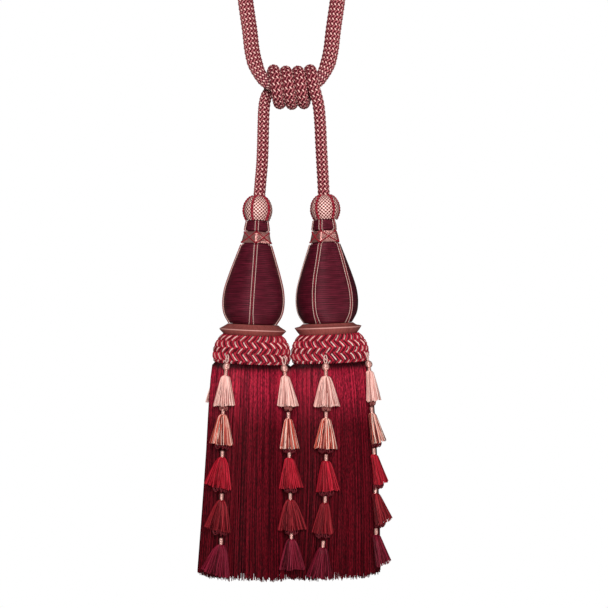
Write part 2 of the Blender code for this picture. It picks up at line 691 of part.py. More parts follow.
def build_string(name, number, materials, parent):
    """One thread with its bead and five drops, each of three locks."""
    tassel = TASSELS[name]
    string = STRINGS[name][number]
    bm = bmesh.new()
    sixths = [60 * k for k in range(6)]

    def ring(depth, half_width, half_depth=None, lean=(0.0, 0.0)):
        half_depth = half_width if half_depth is None else half_depth
        points = string_ring(tassel, string, depth, half_width, half_depth, sixths, lean)
        return [bm.verts.new(point) for point in points]

    rings = [
        ring(BEAD_DEPTH - THREAD_LENGTH, THREAD_RADIUS),
        ring(BEAD_DEPTH - BEAD_RADIUS, THREAD_RADIUS),
        ring(BEAD_DEPTH - BEAD_RADIUS * 0.7, BEAD_RADIUS * 0.72),
        ring(BEAD_DEPTH, BEAD_RADIUS),
        ring(BEAD_DEPTH + BEAD_RADIUS * 0.7, BEAD_RADIUS * 0.72),
        ring(BEAD_DEPTH + BEAD_RADIUS, NECK_RADIUS),
    ]
    bm.faces.new(rings[0])
    for upper, lower in zip(rings, rings[1:]):
        bridge(bm, upper, lower)
    above = rings[-1]
    for i, (lower, swing, stand_out, width) in enumerate(drop_places(name, number)):
        top = BEAD_DEPTH + NECK_LENGTH + DROP_PITCH * i + lower
        neck = ring(top, NECK_RADIUS)
        bridge(bm, above, neck)
        shoulder_depth = top + SHOULDER_DROP
        wide = width / DROP_WIDTH
        shoulder = ring(shoulder_depth, min(SHOULDER[0], SHOULDER[0] * wide), SHOULDER[1])
        bridge(bm, neck, shoulder)
        thirds = (0, 120, 240)
        hearts = string_ring(tassel, string, shoulder_depth, DROP_HEART, DROP_HEART, thirds)
        hearts = [bm.verts.new(point) for point in hearts]
        for k, heart in enumerate(hearts):
            corners = (shoulder[2 * k - 1], shoulder[2 * k], shoulder[2 * k + 1], heart)
            root = bm.faces.new(corners)
            sections = []
            for share, half_width, half_depth in DROP_SHAPE:
                depth = top + DROP_LENGTH * share
                half_width *= wide
                lean = (swing * share, stand_out * share)
                spread = 60 - LOCK_PARTING
                middle = 120 * k
                outer = string_ring(
                    tassel, string, depth, half_width, half_depth,
                    (middle - spread, middle, middle + spread), lean,
                )
                inner = string_ring(
                    tassel, string, depth, half_width * 0.5, half_depth * 0.5, (middle,), lean
                )
                sections.append(outer + inner)
            grow_lock(bm, root, sections)
        star = [hearts[0], shoulder[1], hearts[1], shoulder[3], hearts[2], shoulder[5]]
        if i == DROPS_PER_STRING - 1:
            bm.faces.new(star)
            break
        lean = (swing * 0.8, stand_out * 0.8)
        knot = ring(top + DROP_LENGTH + LOOP_KNOT_DROP, LOOP_KNOT[0] * min(1.0, wide), LOOP_KNOT[1], lean)
        bridge(bm, star, knot)
        lean = (swing * 0.3, stand_out * 0.3)
        above = ring(top + DROP_LENGTH + LOOP_KNOT_END, NECK_RADIUS, None, lean)
        bridge(bm, knot, above)
    add_object(f"{name}_drops_{number + 1}", bm, materials["drop_thread"], parent)


# ---- Assembly ------------------------------------------------------------
def build_tassel(name, materials):
    tassel = TASSELS[name]
    frame = bpy.data.objects.new(f"{name}_frame", None)
    x, z = tassel["place"]
    frame.location = (x, 0.0, z)
    frame.rotation_euler = (0.0, -math.radians(tassel["side"] * tassel["lean"]), 0.0)
    collection.objects.link(frame)
    build_ball(name, tassel, materials, frame)
    build_mould(name, tassel, materials, frame)
    build_ribs(name, tassel, materials, frame)
    build_band(name, tassel, materials, frame)
    build_disc(name, tassel, materials, frame)
    build_collar(name, materials, frame)
    build_skirt(name, tassel, materials, frame)
    for number in range(len(STRINGS[name])):
        build_string(name, number, materials, frame)


clear_scene()
collection = bpy.data.collections.new("curtain_tieback")
bpy.context.scene.collection.children.link(collection)
finishes = make_materials()
build_cords(finishes)
for tassel_name in TASSELS:
    build_tassel(tassel_name, finishes)
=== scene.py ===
"""Curtain tieback: a braided loop cord with two tassels.

The file follows the tieback as it is put together: the braided cords, then
each tassel from its ball down to its skirt, and last the strings of drops.
Metres, Z up, X to the right, the front towards -Y.
"""
import math
import random

import bmesh
import bpy
from mathutils import Matrix, Vector


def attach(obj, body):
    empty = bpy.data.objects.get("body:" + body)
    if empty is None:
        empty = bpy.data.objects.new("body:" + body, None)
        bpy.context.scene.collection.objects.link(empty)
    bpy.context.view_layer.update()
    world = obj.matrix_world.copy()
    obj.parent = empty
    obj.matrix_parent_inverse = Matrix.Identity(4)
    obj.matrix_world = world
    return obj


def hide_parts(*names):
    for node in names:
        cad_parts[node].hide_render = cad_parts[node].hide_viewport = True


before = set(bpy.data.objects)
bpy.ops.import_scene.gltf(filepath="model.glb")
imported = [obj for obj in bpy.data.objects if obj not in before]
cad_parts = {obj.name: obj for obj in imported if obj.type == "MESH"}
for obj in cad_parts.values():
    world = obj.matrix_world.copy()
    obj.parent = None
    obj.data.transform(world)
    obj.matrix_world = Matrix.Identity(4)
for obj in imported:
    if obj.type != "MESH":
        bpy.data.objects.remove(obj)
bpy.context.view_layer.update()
scene = bpy.context.scene


# ---- Camera --------------------------------------------------------------
# A long lens, level with the middle of the picture and square to the front,
# one metre from the tassels.
PICTURE_WIDTH = 608            # pixels; the picture is square
TIEBACK_COLUMN = 291.5         # pixel column where x is 0
LENS_IN_PIXELS = 1275.5
METRES_PER_PIXEL = 0.000784
PICTURE_TOP_Z = -0.138
CAMERA_AWAY = 1.0
SENSOR_WIDTH = 36.0


def add_object(name, data):
    """Put an object with this data in the scene."""
    obj = bpy.data.objects.new(name, data)
    scene.collection.objects.link(obj)
    return obj


camera_data = bpy.data.cameras.new("camera")
camera_data.sensor_width = SENSOR_WIDTH
camera_data.lens = SENSOR_WIDTH * (LENS_IN_PIXELS / PICTURE_WIDTH)
camera_data.shift_x = (PICTURE_WIDTH / 2 - TIEBACK_COLUMN) / PICTURE_WIDTH
camera_data.clip_start = 0.05
camera = add_object("camera", camera_data)
camera.location = (0.0, -CAMERA_AWAY, PICTURE_TOP_Z - PICTURE_WIDTH / 2 * METRES_PER_PIXEL)
camera.rotation_euler = (math.radians(90), 0.0, 0.0)
scene.camera = camera
scene.view_settings.view_transform = "Standard"


# ---- Studio --------------------------------------------------------------
# A round pale floor below the tassels, large soft lights in front, and a
# white room that lights only a little.
FLOOR_Z = -0.95
FLOOR_RADIUS = 1.2
ROOM_LIGHT = 0.06


def mesh_from(bm, name):
    """Turn finished faces into a mesh."""
    mesh = bpy.data.meshes.new(name)
    bm.to_mesh(mesh)
    bm.free()
    return mesh


floor_bm = bmesh.new()
bmesh.ops.create_circle(floor_bm, cap_ends=True, radius=FLOOR_RADIUS, segments=96)
floor_mesh = mesh_from(floor_bm, "floor")
floor_mesh.transform(Matrix.Translation((0.0, 0.0, FLOOR_Z)))
floor_finish = bpy.data.materials.new("pale_floor")
floor_finish.use_nodes = True
floor_shader = floor_finish.node_tree.nodes["Principled BSDF"]
floor_shader.inputs["Base Color"].default_value = (0.82, 0.81, 0.80, 1.0)
floor_shader.inputs["Roughness"].default_value = 0.8
floor_mesh.materials.append(floor_finish)
floor = add_object("floor", floor_mesh)

room = bpy.data.worlds.new("white_room")
room.use_nodes = True
room_nodes = room.node_tree.nodes
room_light = room_nodes["Background"]
room_light.inputs["Color"].default_value = (1.0, 0.99, 0.98, 1.0)
room_light.inputs["Strength"].default_value = ROOM_LIGHT
room_white = room_nodes.new("ShaderNodeBackground")
room_white.inputs["Color"].default_value = (1.0, 1.0, 1.0, 1.0)
room_white.inputs["Strength"].default_value = 1.0
seen_directly = room_nodes.new("ShaderNodeLightPath")
room_mix = room_nodes.new("ShaderNodeMixShader")
room.node_tree.links.new(seen_directly.outputs["Is Camera Ray"], room_mix.inputs[0])
room.node_tree.links.new(room_light.outputs[0], room_mix.inputs[1])
room.node_tree.links.new(room_white.outputs[0], room_mix.inputs[2])
room.node_tree.links.new(room_mix.outputs[0], room_nodes["World Output"].inputs["Surface"])
scene.world = room

# place, aim, width, height, watts
SOFT_LIGHTS = {
    "front_window": ((0.10, -1.9, 0.10), (0.0, 0.0, -0.38), 0.75, 0.75, 49.0),
    "high_fill": ((-0.5, -1.1, 1.1), (0.0, 0.0, -0.35), 0.9, 0.6, 7.0),
}
for light_name, (place, aim, width, height, watts) in SOFT_LIGHTS.items():
    light_data = bpy.data.lights.new(light_name, "AREA")
    light_data.shape = "RECTANGLE"
    light_data.size = width
    light_data.size_y = height
    light_data.energy = watts
    light = add_object(light_name, light_data)
    light.location = place
    light.rotation_euler = (Vector(aim) - Vector(place)).to_track_quat("-Z", "Y").to_euler()


# ---- Braided cords -------------------------------------------------------
# Tubular braids of viscose over a core, whose near-black colour is painted shade
# in the gaps between the strands: in one direction strands that are half rose
# and half dark red, in the other narrow pale strands that show as dots.  The
# thick cord is the loop; the thin one wraps it four times and carries the tassels.
LOOP_CORD = 0.0120
TASSEL_CORD = 0.0092
KNOT_Z = -0.2069
KNOT_WRAPS = 4
KNOT_PITCH = 0.0095
KNOT_RADIUS = 0.0125
KNOT_RISE = 0.0011
LOOP_SQUEEZED = 0.83       # share of its thickness that the loop cord keeps in the knot
SQUEEZED_Z = (-0.1880, -0.1960)
LOOP_KNOT_TO_CROWN = (
    (-0.0003, -0.2058), (-0.0055, -0.2056), (-0.0100, -0.2050), (-0.0142, -0.2040),
    (-0.0177, -0.2031), (-0.0208, -0.2012), (-0.0233, -0.1984), (-0.0257, -0.1946),
    (-0.0276, -0.1903), (-0.0294, -0.1848), (-0.0312, -0.1756),
    (-0.0328, -0.1615), (-0.0361, -0.1380), (-0.0388, -0.1120), (-0.0408, -0.0830),
    (-0.0412, -0.0560), (-0.0374, -0.0280), (-0.0245, -0.0048), (0.0000, 0.0060),
)
LEFT_LEG = (
    (-0.0252, 0.0000, -0.2912), (-0.0242, 0.0006, -0.2790), (-0.0232, 0.0020, -0.2670),
    (-0.0226, 0.0042, -0.2517), (-0.0223, 0.0070, -0.2360), (-0.0218, 0.0102, -0.2215),
    (-0.0203, 0.0121, -0.2125),
)
RIGHT_LEG = (
    (0.0208, -0.0106, -0.2215), (0.0223, -0.0074, -0.2360), (0.0231, -0.0044, -0.2517),
    (0.0240, -0.0021, -0.2670), (0.0247, -0.0006, -0.2790), (0.0253, 0.0000, -0.2904),
)
BRAID_REPEAT = 0.00385     # along the cord, from one row of dots to the next
STRAND_THICKNESS = 0.0010
STRAND_LIFT = 0.00042      # how far a strand rises and dips at a crossing
BRAID_FULLNESS = 0.0003    # the strands stand this far outside the cord's solid
POINTS_PER_REPEAT = 5
POINTS_PER_CORE_POINT = 6.0
CORE_INSET = 0.0003        # the core's skin, inside the middle of the strands
ROUTE_POINTS = 600
STEPS_PER_SPAN = 24        # between two given points, before they are spaced evenly


def smooth_route(points, count):
    """Evenly spaced points on a smooth curve through given points."""
    points = [Vector(p) for p in points]
    ends = [points[0] * 2 - points[1]] + points + [points[-1] * 2 - points[-2]]
    fine = []
    for p0, p1, p2, p3 in zip(ends, ends[1:], ends[2:], ends[3:]):
        for k in range(STEPS_PER_SPAN):
            t = k / STEPS_PER_SPAN
            fine.append(
                0.5 * (2 * p1 + (p2 - p0) * t + (2 * p0 - 5 * p1 + 4 * p2 - p3) * t * t
                       + (3 * p1 - p0 - 3 * p2 + p3) * t ** 3)
            )
    fine.append(points[-1])
    lengths = [0.0]
    for a, b in zip(fine, fine[1:]):
        lengths.append(lengths[-1] + (b - a).length)
    route = []
    j = 0
    for i in range(count):
        goal = lengths[-1] * i / (count - 1)
        while j < len(fine) - 2 and lengths[j + 1] < goal:
            j += 1
        span = lengths[j + 1] - lengths[j]
        t = (goal - lengths[j]) / span if span else 0.0
        route.append(fine[j].lerp(fine[j + 1], min(1.0, t)))
    return route


def route_length(route):
    return sum((b - a).length for a, b in zip(route, route[1:]))


def loop_points():
    left = [(x, 0.0, z) for x, z in LOOP_KNOT_TO_CROWN]
    right = [(-x, 0.0, z) for x, z in reversed(LOOP_KNOT_TO_CROWN[:-1])]
    return left + right


def tassel_cord_points():
    """Up from the left ball, round the loop cord, and down to the right one."""
    half_knot = KNOT_PITCH * (KNOT_WRAPS - 1) / 2
    wraps = []
    for degrees in range(-90, 360 * (KNOT_WRAPS - 1) + 91, 30):
        turn = math.radians(degrees)
        x = KNOT_PITCH * degrees / 360 - half_knot
        axis_z = KNOT_Z + KNOT_RISE * (x / half_knot) ** 2
        wraps.append((x, -KNOT_RADIUS * math.sin(turn), axis_z + KNOT_RADIUS * math.cos(turn)))
    return list(LEFT_LEG) + wraps + list(RIGHT_LEG)


class Field:
    """A value that runs through a node tree; arithmetic on it adds nodes."""

    def __init__(self, socket):
        self.socket = socket
        self.tree = socket.id_data

    def __add__(self, other):
        return calc("ADD", self, other)

    def __sub__(self, other):
        return calc("SUBTRACT", self, other)

    def __rsub__(self, other):
        return calc("SUBTRACT", other, self)

    def __mul__(self, other):
        return calc("MULTIPLY", self, other)

    def __truediv__(self, other):
        return calc("DIVIDE", self, other)


def set_input(socket, value):
    """Link a field to an input, or set the input to a constant."""
    if isinstance(value, Field):
        value.tree.links.new(value.socket, socket)
    else:
        socket.default_value = value


def add_node(tree, kind, inputs=None, **options):
    """Put a node in a tree, set its options, and link or set its inputs."""
    node = tree.nodes.new(kind)
    for option, value in options.items():
        setattr(node, option, value)
    for key, value in (inputs or {}).items():
        set_input(node.inputs[key], value)
    return node


def field_from(tree, kind, inputs=None, output=0, **options):
    """Add a node and give the field that leaves it."""
    return Field(add_node(tree, kind, inputs, **options).outputs[output])


def tree_of(terms):
    return next(term.tree for term in terms if isinstance(term, Field))


def calc(operation, *terms):
    """One step of arithmetic on fields and numbers."""
    return field_from(tree_of(terms), "ShaderNodeMath", dict(enumerate(terms)), operation=operation)


def vector_calc(operation, *terms):
    keys = (0, "Scale") if operation == "SCALE" else (0, 1)
    inputs = dict(zip(keys, terms))
    return field_from(tree_of(terms), "ShaderNodeVectorMath", inputs, "Vector", operation=operation)


def combine(tree, **parts):
    """A vector from its X, Y and Z; those left out are 0."""
    return field_from(tree, "ShaderNodeCombineXYZ", parts)


def new_group(name, kind, inputs, output, *more_outputs):
    """A node group with named sockets: (label, type) or (label, type, value)."""
    tree = bpy.data.node_groups.new(name, kind)
    for label, socket_type, *value in inputs:
        socket = tree.interface.new_socket(label, in_out="INPUT", socket_type=socket_type)
        if value:
            socket.default_value = value[0]
    for label, socket_type in (output,) + more_outputs:
        tree.interface.new_socket(label, in_out="OUTPUT", socket_type=socket_type)
    entrance = tree.nodes.new("NodeGroupInput").outputs
    fields = {label: Field(entrance[label]) for label, *rest in inputs}
    return tree, fields, tree.nodes.new("NodeGroupOutput").inputs


def new_geometry_tree(name, inputs):
    """A tree for grow: it takes an object's edges and gives a mesh."""
    inputs = (("Geometry", "NodeSocketGeometry"),) + inputs
    return new_group(name, "GeometryNodeTree", inputs, ("Geometry", "NodeSocketGeometry"))


def copies_of(curve, amount):
    """Copies of each curve, and the number that each copy has."""
    node = add_node(
        curve.tree, "GeometryNodeDuplicateElements", {"Geometry": curve, "Amount": amount},
        domain="SPLINE",
    )
    return Field(node.outputs["Geometry"]), Field(node.outputs["Duplicate Index"])


def resampled(curve, mode, value):
    """A curve with new points: a COUNT of them, or a LENGTH apart."""
    return field_from(
        curve.tree, "GeometryNodeResampleCurve", {"Curve": curve, mode.capitalize(): value}, mode=mode,
    )


def untwisted(curve):
    return field_from(curve.tree, "GeometryNodeSetCurveNormal", {"Curve": curve}, mode="MINIMUM_TWIST")


def round_section(tree, sides, radius):
    return field_from(
        tree, "GeometryNodeCurvePrimitiveCircle", {"Resolution": sides, "Radius": radius}, mode="RADIUS",
    )


def sweep(curve, section):
    """A closed skin of one section along a curve."""
    return field_from(
        curve.tree, "GeometryNodeCurveToMesh",
        {"Curve": curve, "Profile Curve": section, "Fill Caps": True},
    )


def keep_on_points(geometry, **fields):
    """Capture fields on a geometry; gives the geometry and the kept fields."""
    node = add_node(geometry.tree, "GeometryNodeCaptureAttribute", domain="POINT")
    for label, (kind, field) in fields.items():
        node.capture_items.new(kind, label)
        set_input(node.inputs[label], field)
    set_input(node.inputs["Geometry"], geometry)
    return Field(node.outputs["Geometry"]), [Field(node.outputs[label]) for label in fields]


def store(geometry, name, value):
    """Keep a number on a mesh's points, for its material to read."""
    return field_from(
        geometry.tree, "GeometryNodeStoreNamedAttribute",
        {"Geometry": geometry, "Name": name, "Value": value}, data_type="FLOAT", domain="POINT",
    )


def named(tree, name):
    return field_from(tree, "GeometryNodeInputNamedAttribute", {"Name": name}, data_type="FLOAT")


def along_spline(tree, output):
    return field_from(tree, "GeometryNodeSplineParameter", output=output)


def with_material(geometry, material, **selection):
    return field_from(
        geometry.tree, "GeometryNodeSetMaterial",
        {"Geometry": geometry, "Material": material, **selection},
    )


def smooth_and_real(geometry):
    smooth = field_from(geometry.tree, "GeometryNodeSetShadeSmooth", {"Geometry": geometry})
    return field_from(geometry.tree, "GeometryNodeRealizeInstances", {"Geometry": smooth})


# Strands wound on a route: a helix each, which may rise and dip for a braid.
strand_group, wound, wound_out = new_group(
    "wound_strands", "GeometryNodeTree",
    (
        ("Route", "NodeSocketGeometry"), ("Strands", "NodeSocketInt", 2),
        ("Pitch", "NodeSocketFloat", 0.01), ("Radius", "NodeSocketFloat", 0.001),
        ("Lift", "NodeSocketFloat", 0.0), ("Lift Step", "NodeSocketFloat", 0.01),
        ("Hand", "NodeSocketFloat", 1.0), ("Width", "NodeSocketFloat", 0.001),
        ("Thickness", "NodeSocketFloat", 0.001), ("Sides", "NodeSocketInt", 4),
    ),
    ("Mesh", "NodeSocketGeometry"),
)
copies, copy_number = copies_of(wound["Route"], wound["Strands"])
run = along_spline(strand_group, "Length")
turns = run / wound["Pitch"] * wound["Hand"] + copy_number / wound["Strands"]
angle = turns * (2 * math.pi)
normal = field_from(strand_group, "GeometryNodeInputNormal")
tangent = field_from(strand_group, "GeometryNodeInputTangent")
binormal = vector_calc("CROSS_PRODUCT", tangent, normal)
radial = vector_calc(
    "ADD", vector_calc("SCALE", normal, calc("COSINE", angle)),
    vector_calc("SCALE", binormal, calc("SINE", angle)),
)
wave = calc("COSINE", run / wound["Lift Step"] * math.pi)
reach = wave * wound["Lift"] + wound["Radius"]
curves, (run_kept, radial_kept, reach_kept) = keep_on_points(
    copies, run=("FLOAT", run), radial=("VECTOR", radial), reach=("FLOAT", reach),
)
moved = field_from(
    strand_group, "GeometryNodeSetPosition",
    {"Geometry": curves, "Offset": vector_calc("SCALE", radial_kept, reach_kept)},
)
turned_out = field_from(
    strand_group, "GeometryNodeSetCurveNormal", {"Curve": moved, "Normal": radial_kept}, mode="FREE",
)
section_place = field_from(strand_group, "GeometryNodeInputPosition")
section, (section_kept,) = keep_on_points(
    round_section(strand_group, wound["Sides"], 1.0), place=("VECTOR", section_place),
)
section_size = combine(strand_group, X=wound["Thickness"] * 0.5, Y=wound["Width"] * 0.5, Z=1.0)
sized = field_from(
    strand_group, "GeometryNodeTransform", {"Geometry": section, "Scale": section_size},
)
strand_mesh = store(sweep(turned_out, sized), "along", run_kept)
across_section = field_from(strand_group, "ShaderNodeSeparateXYZ", {0: section_kept}, "Y")
set_input(wound_out["Mesh"], store(strand_mesh, "across", across_section))

braid_tree, braid, braid_out = new_geometry_tree("braided_cord", (
    ("Points", "NodeSocketInt", 100), ("Strands", "NodeSocketInt", 12),
    ("Pitch", "NodeSocketFloat", 0.04), ("Radius", "NodeSocketFloat", 0.005),
    ("Lift", "NodeSocketFloat", STRAND_LIFT), ("Lift Step", "NodeSocketFloat", 0.002),
    ("Rose Width", "NodeSocketFloat", 0.0023), ("Pale Width", "NodeSocketFloat", 0.0020),
    ("Thickness", "NodeSocketFloat", STRAND_THICKNESS), ("Rose", "NodeSocketMaterial"),
    ("Pale", "NodeSocketMaterial"), ("Core", "NodeSocketMaterial"),
))
braid_curve = field_from(braid_tree, "GeometryNodeMeshToCurve", {"Mesh": braid["Geometry"]})
braid_route = untwisted(resampled(braid_curve, "COUNT", braid["Points"]))
full_here = named(braid_tree, "fullness")
braid_join = braid_tree.nodes.new("GeometryNodeJoinGeometry")
for label, hand in (("Pale", -1.0), ("Rose", 1.0)):
    inputs = {name: braid[name] for name in ("Strands", "Pitch", "Lift Step", "Thickness")}
    inputs.update(
        Route=braid_route, Radius=braid["Radius"] * full_here, Width=braid[f"{label} Width"],
        Lift=braid["Lift"] * hand, Hand=hand, Sides=4,
    )
    strands = field_from(braid_tree, "GeometryNodeGroup", inputs, node_tree=strand_group)
    set_input(braid_join.inputs[0], with_material(strands, braid[label]))
core_route = field_from(
    braid_tree, "GeometryNodeSetCurveRadius",
    {"Curve": resampled(braid_curve, "COUNT", braid["Points"] / POINTS_PER_CORE_POINT), "Radius": full_here},
)
core_skin = sweep(core_route, round_section(braid_tree, 12, braid["Radius"] - CORE_INSET))
set_input(braid_join.inputs[0], with_material(core_skin, braid["Core"]))
set_input(braid_out["Geometry"], smooth_and_real(Field(braid_join.outputs[0])))


def new_finish(name, roughness, metallic=0.0, specular=0.25):
    """A material and its Principled shader, with its constant numbers set."""
    material = bpy.data.materials.new(name)
    material.use_nodes = True
    shader = material.node_tree.nodes["Principled BSDF"]
    shader.inputs["Roughness"].default_value = roughness
    shader.inputs["Metallic"].default_value = metallic
    shader.inputs["Specular IOR Level"].default_value = specular
    return material, material.node_tree, shader


def paint(shader, colour, height=None, distance=0.0):
    """Give a shader its colour and, where there is a height, its bump."""
    set_input(shader.inputs["Base Color"], colour)
    if height:
        inputs = {"Height": height, "Distance": distance, "Strength": 1.0}
        set_input(shader.inputs["Normal"], field_from(height.tree, "ShaderNodeBump", inputs))


def attribute(tree, name):
    return field_from(tree, "ShaderNodeAttribute", output="Fac", attribute_name=name)


def object_place(tree):
    return field_from(tree, "ShaderNodeTexCoord", output="Object")


def noise(place, scale, detail=2.0):
    inputs = {"Vector": place, "Scale": scale, "Detail": detail}
    return field_from(place.tree, "ShaderNodeTexNoise", inputs, "Fac")


def colour_steps(factor, steps):
    """A colour ramp from (position, colour) steps."""
    node = add_node(factor.tree, "ShaderNodeValToRGB", {"Fac": factor})
    ramp = node.color_ramp
    while len(ramp.elements) < len(steps):
        ramp.elements.new(0.5)
    for element, (position, colour) in zip(ramp.elements, steps):
        element.position = position
        element.color = (*colour, 1.0)
    return Field(node.outputs["Color"])


def mix_colour(factor, first, second, blend="MIX"):
    """Mix two colours, each a field or its red, green and blue."""
    terms = [(*term, 1.0) if isinstance(term, tuple) else term for term in (factor, first, second)]
    inputs = dict(zip((0, 6, 7), terms))
    return field_from(tree_of(terms), "ShaderNodeMix", inputs, 2, data_type="RGBA", blend_type=blend)


def use_group(tree, group, inputs):
    """Put a shader group to work in a tree; gives its outputs by name."""
    node = add_node(tree, "ShaderNodeGroup", inputs, node_tree=group)
    return {socket.name: Field(socket) for socket in node.outputs}


# Slanting ply lines along a strand, from its two attributes, and a grain a few
# millimetres long.
ply_group, ply, ply_out = new_group(
    "ply_lines", "ShaderNodeTree",
    (
        ("Along", "NodeSocketFloat"), ("Across", "NodeSocketFloat"),
        ("Pitch", "NodeSocketFloat", 0.001), ("Slant", "NodeSocketFloat", 0.25),
    ),
    ("Lines", "NodeSocketFloat"), ("Grain", "NodeSocketFloat"),
)
ply_turn = ply["Across"] * ply["Slant"] + ply["Along"] / ply["Pitch"]
set_input(ply_out["Lines"], calc("SINE", ply_turn * (2 * math.pi)) * 0.5 + 0.5)
ply_place = combine(ply_group, X=ply["Along"] * 300.0, Y=ply["Across"] * 5.0)
set_input(ply_out["Grain"], noise(ply_place, 1.0))


def add_ply_lines(tree, pitch, slant):
    ends = {"Along": attribute(tree, "along"), "Across": attribute(tree, "across")}
    return use_group(tree, ply_group, {**ends, "Pitch": pitch, "Slant": slant})


rose_strand, tree, shader = new_finish("rose_strand", 0.45, specular=0.15)
lines = add_ply_lines(tree, 0.0011, 0.35)
sides = lines["Grain"] * 0.16 + (attribute(tree, "across") * 0.5 + 0.5 - 0.08)
colour = colour_steps(sides, (
    (0.0, (0.10, 0.005, 0.012)), (0.36, (0.14, 0.008, 0.018)),
    (0.50, (0.46, 0.13, 0.14)), (0.76, (0.52, 0.16, 0.17)), (0.90, (0.16, 0.012, 0.022)),
))
colour = mix_colour(lines["Lines"] * 0.35, colour, (0.10, 0.01, 0.02))
paint(shader, colour, lines["Lines"], 0.00012)

pale_strand, tree, shader = new_finish("pale_strand", 0.42, specular=0.15)
lines = add_ply_lines(tree, 0.0009, 0.3)
# The pale strand is painted near black where its float dips under the rose strands, as painted shade, and
# darker towards its edges, leaving a pale dot on top of each float.
float_wave = calc("COSINE", attribute(tree, "along") / BRAID_REPEAT * (2 * math.pi))
float_top = float_wave * -0.5 + 0.5
across = attribute(tree, "across")
dot_and_dip_shade = float_top * 1.7 - 0.60 - across * across * 2.2
colour = colour_steps(dot_and_dip_shade, (
    (0.10, (0.13, 0.008, 0.016)), (0.42, (0.62, 0.26, 0.24)), (0.90, (0.86, 0.56, 0.50)),
))
colour = mix_colour(lines["Lines"] * 0.25, colour, (0.16, 0.02, 0.03))
paint(shader, colour, lines["Lines"], 0.00010)

# The core's near-black colour is painted shade, seen in the gaps between the strands.
core_thread, tree, shader = new_finish("core_thread", 0.8)
paint(shader, mix_colour(
    noise(object_place(tree), 900.0), (0.05, 0.004, 0.010), (0.12, 0.010, 0.022),
))


def keep_numbers(mesh, label, values):
    """Keep one number on each point of a mesh."""
    mesh.attributes.new(label, "FLOAT", "POINT").data.foreach_set("value", values)


def edge_object(name, routes, **numbers):
    """An object of plain edge chains, a list of points each, for a tree.

    numbers hold one value for each route, kept on its points.
    """
    mesh = bpy.data.meshes.new(name)
    verts = [point for route in routes for point in route]
    edges = []
    start = 0
    for route in routes:
        edges.extend((start + i, start + i + 1) for i in range(len(route) - 1))
        start += len(route)
    mesh.from_pydata(verts, edges, [])
    for label, values in numbers.items():
        keep_numbers(mesh, label, [value for value, route in zip(values, routes) for point in route])
    return add_object(name, mesh)


def grow(obj, tree, **values):
    """Run a tree on an object and keep the result as its plain mesh."""
    modifier = obj.modifiers.new(tree.name, "NODES")
    modifier.node_group = tree
    for item in tree.interface.items_tree:
        key = item.name.replace(" ", "_").lower()
        if item.in_out == "INPUT" and key in values:
            modifier[item.identifier] = values.pop(key)
    if values:
        raise ValueError(f"{tree.name} has no input for {sorted(values)}")
    depsgraph = bpy.context.evaluated_depsgraph_get()
    grown = bpy.data.meshes.new_from_object(
        obj.evaluated_get(depsgraph), preserve_all_data_layers=True, depsgraph=depsgraph,
    )
    obj.modifiers.clear()
    plain = obj.data
    obj.data = grown
    bpy.data.meshes.remove(plain)
    grown.name = obj.name
    return obj


def share_between(value, low, high):
    return min(1.0, max(0.0, (value - low) / (high - low)))


def loop_fullness(place):
    start, end = SQUEEZED_Z
    return 1 - (1 - LOOP_SQUEEZED) * share_between(-place[2], -start, -end)


def build_braid(name, points, thickness, strands, fullness=None, sunk=0.0):
    """Braid one cord; sunk is how far its ends reach on into the balls."""
    route = smooth_route(points, ROUTE_POINTS)
    first = route[0] + (route[0] - route[1]).normalized() * sunk
    last = route[-1] + (route[-1] - route[-2]).normalized() * sunk
    obj = edge_object(name, [[first] + route[1:-1] + [last]])
    keep_numbers(obj.data, "fullness", [fullness(place) if fullness else 1.0 for place in route])
    length = route_length(route)
    grow(
        obj, braid_tree,
        points=int(length / BRAID_REPEAT * POINTS_PER_REPEAT) + 1,
        strands=strands,
        pitch=BRAID_REPEAT * strands,
        radius=thickness / 2 - STRAND_THICKNESS / 2 - STRAND_LIFT + BRAID_FULLNESS,
        lift_step=BRAID_REPEAT / 2,
        rose=rose_strand,
        pale=pale_strand,
        core=core_thread,
    )
    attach(obj, "root")
    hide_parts(name.replace("braided_", ""))


build_braid("braided_loop_cord", loop_points(), LOOP_CORD, 12, fullness=loop_fullness)
build_braid("braided_tassel_cord", tassel_cord_points(), TASSEL_CORD, 8, sunk=0.0012)


# ---- Where each tassel hangs ---------------------------------------------
# Both tassels hang from the thin cord and lean a little outwards, because
# their skirts press together.  Each is made round its own leaning axis, with
# depths measured down from its place, inside the ball.
TASSELS = {
    "left": {
        "side": -1, "place": (-0.0263, -0.3005), "lean": 2.4, "ball_cords_at": -24.0,
        "ribs_at": 0.0, "twist": (-2.5, 0.0915), "disc": (0.0, 0.0), "plait_at": 5.9,
        "ball": 0.0003, "sway": 0.0030, "bow": 0.0, "seed": 11,
    },
    "right": {
        "side": 1, "place": (0.0255, -0.2996), "lean": 2.3, "ball_cords_at": -38.0,
        "ribs_at": -22.0, "twist": (-5.0, 0.0550), "disc": (-0.0007, 0.0014), "plait_at": 3.6,
        "ball": 0.0008, "sway": 0.0055, "bow": 0.0021, "seed": 23,
    },
}
RIB_COUNT = 5


def tassel_frame(tassel):
    x, z = tassel["place"]
    lean = math.radians(tassel["side"] * tassel["lean"])
    return Matrix.Translation((x, 0.0, z)) @ Matrix.Rotation(-lean, 4, "Y")


def around(azimuth, radius, depth):
    """Point at an azimuth in degrees from the front, to the right."""
    angle = math.radians(azimuth)
    return Vector((radius * math.sin(angle), -radius * math.cos(angle), -depth))


def radius_at(profile, depth):
    """Radius of a turned profile at a depth, straight between its points."""
    for (d0, r0), (d1, r1) in zip(profile, profile[1:]):
        if depth <= d1:
            t = max(0.0, (depth - d0) / (d1 - d0))
            return r0 + (r1 - r0) * t
    return profile[-1][1]


def smooth_profile(profile, count):
    curve = smooth_route([(depth, radius, 0.0) for depth, radius in profile], count)
    return [(point.x, point.y) for point in curve]


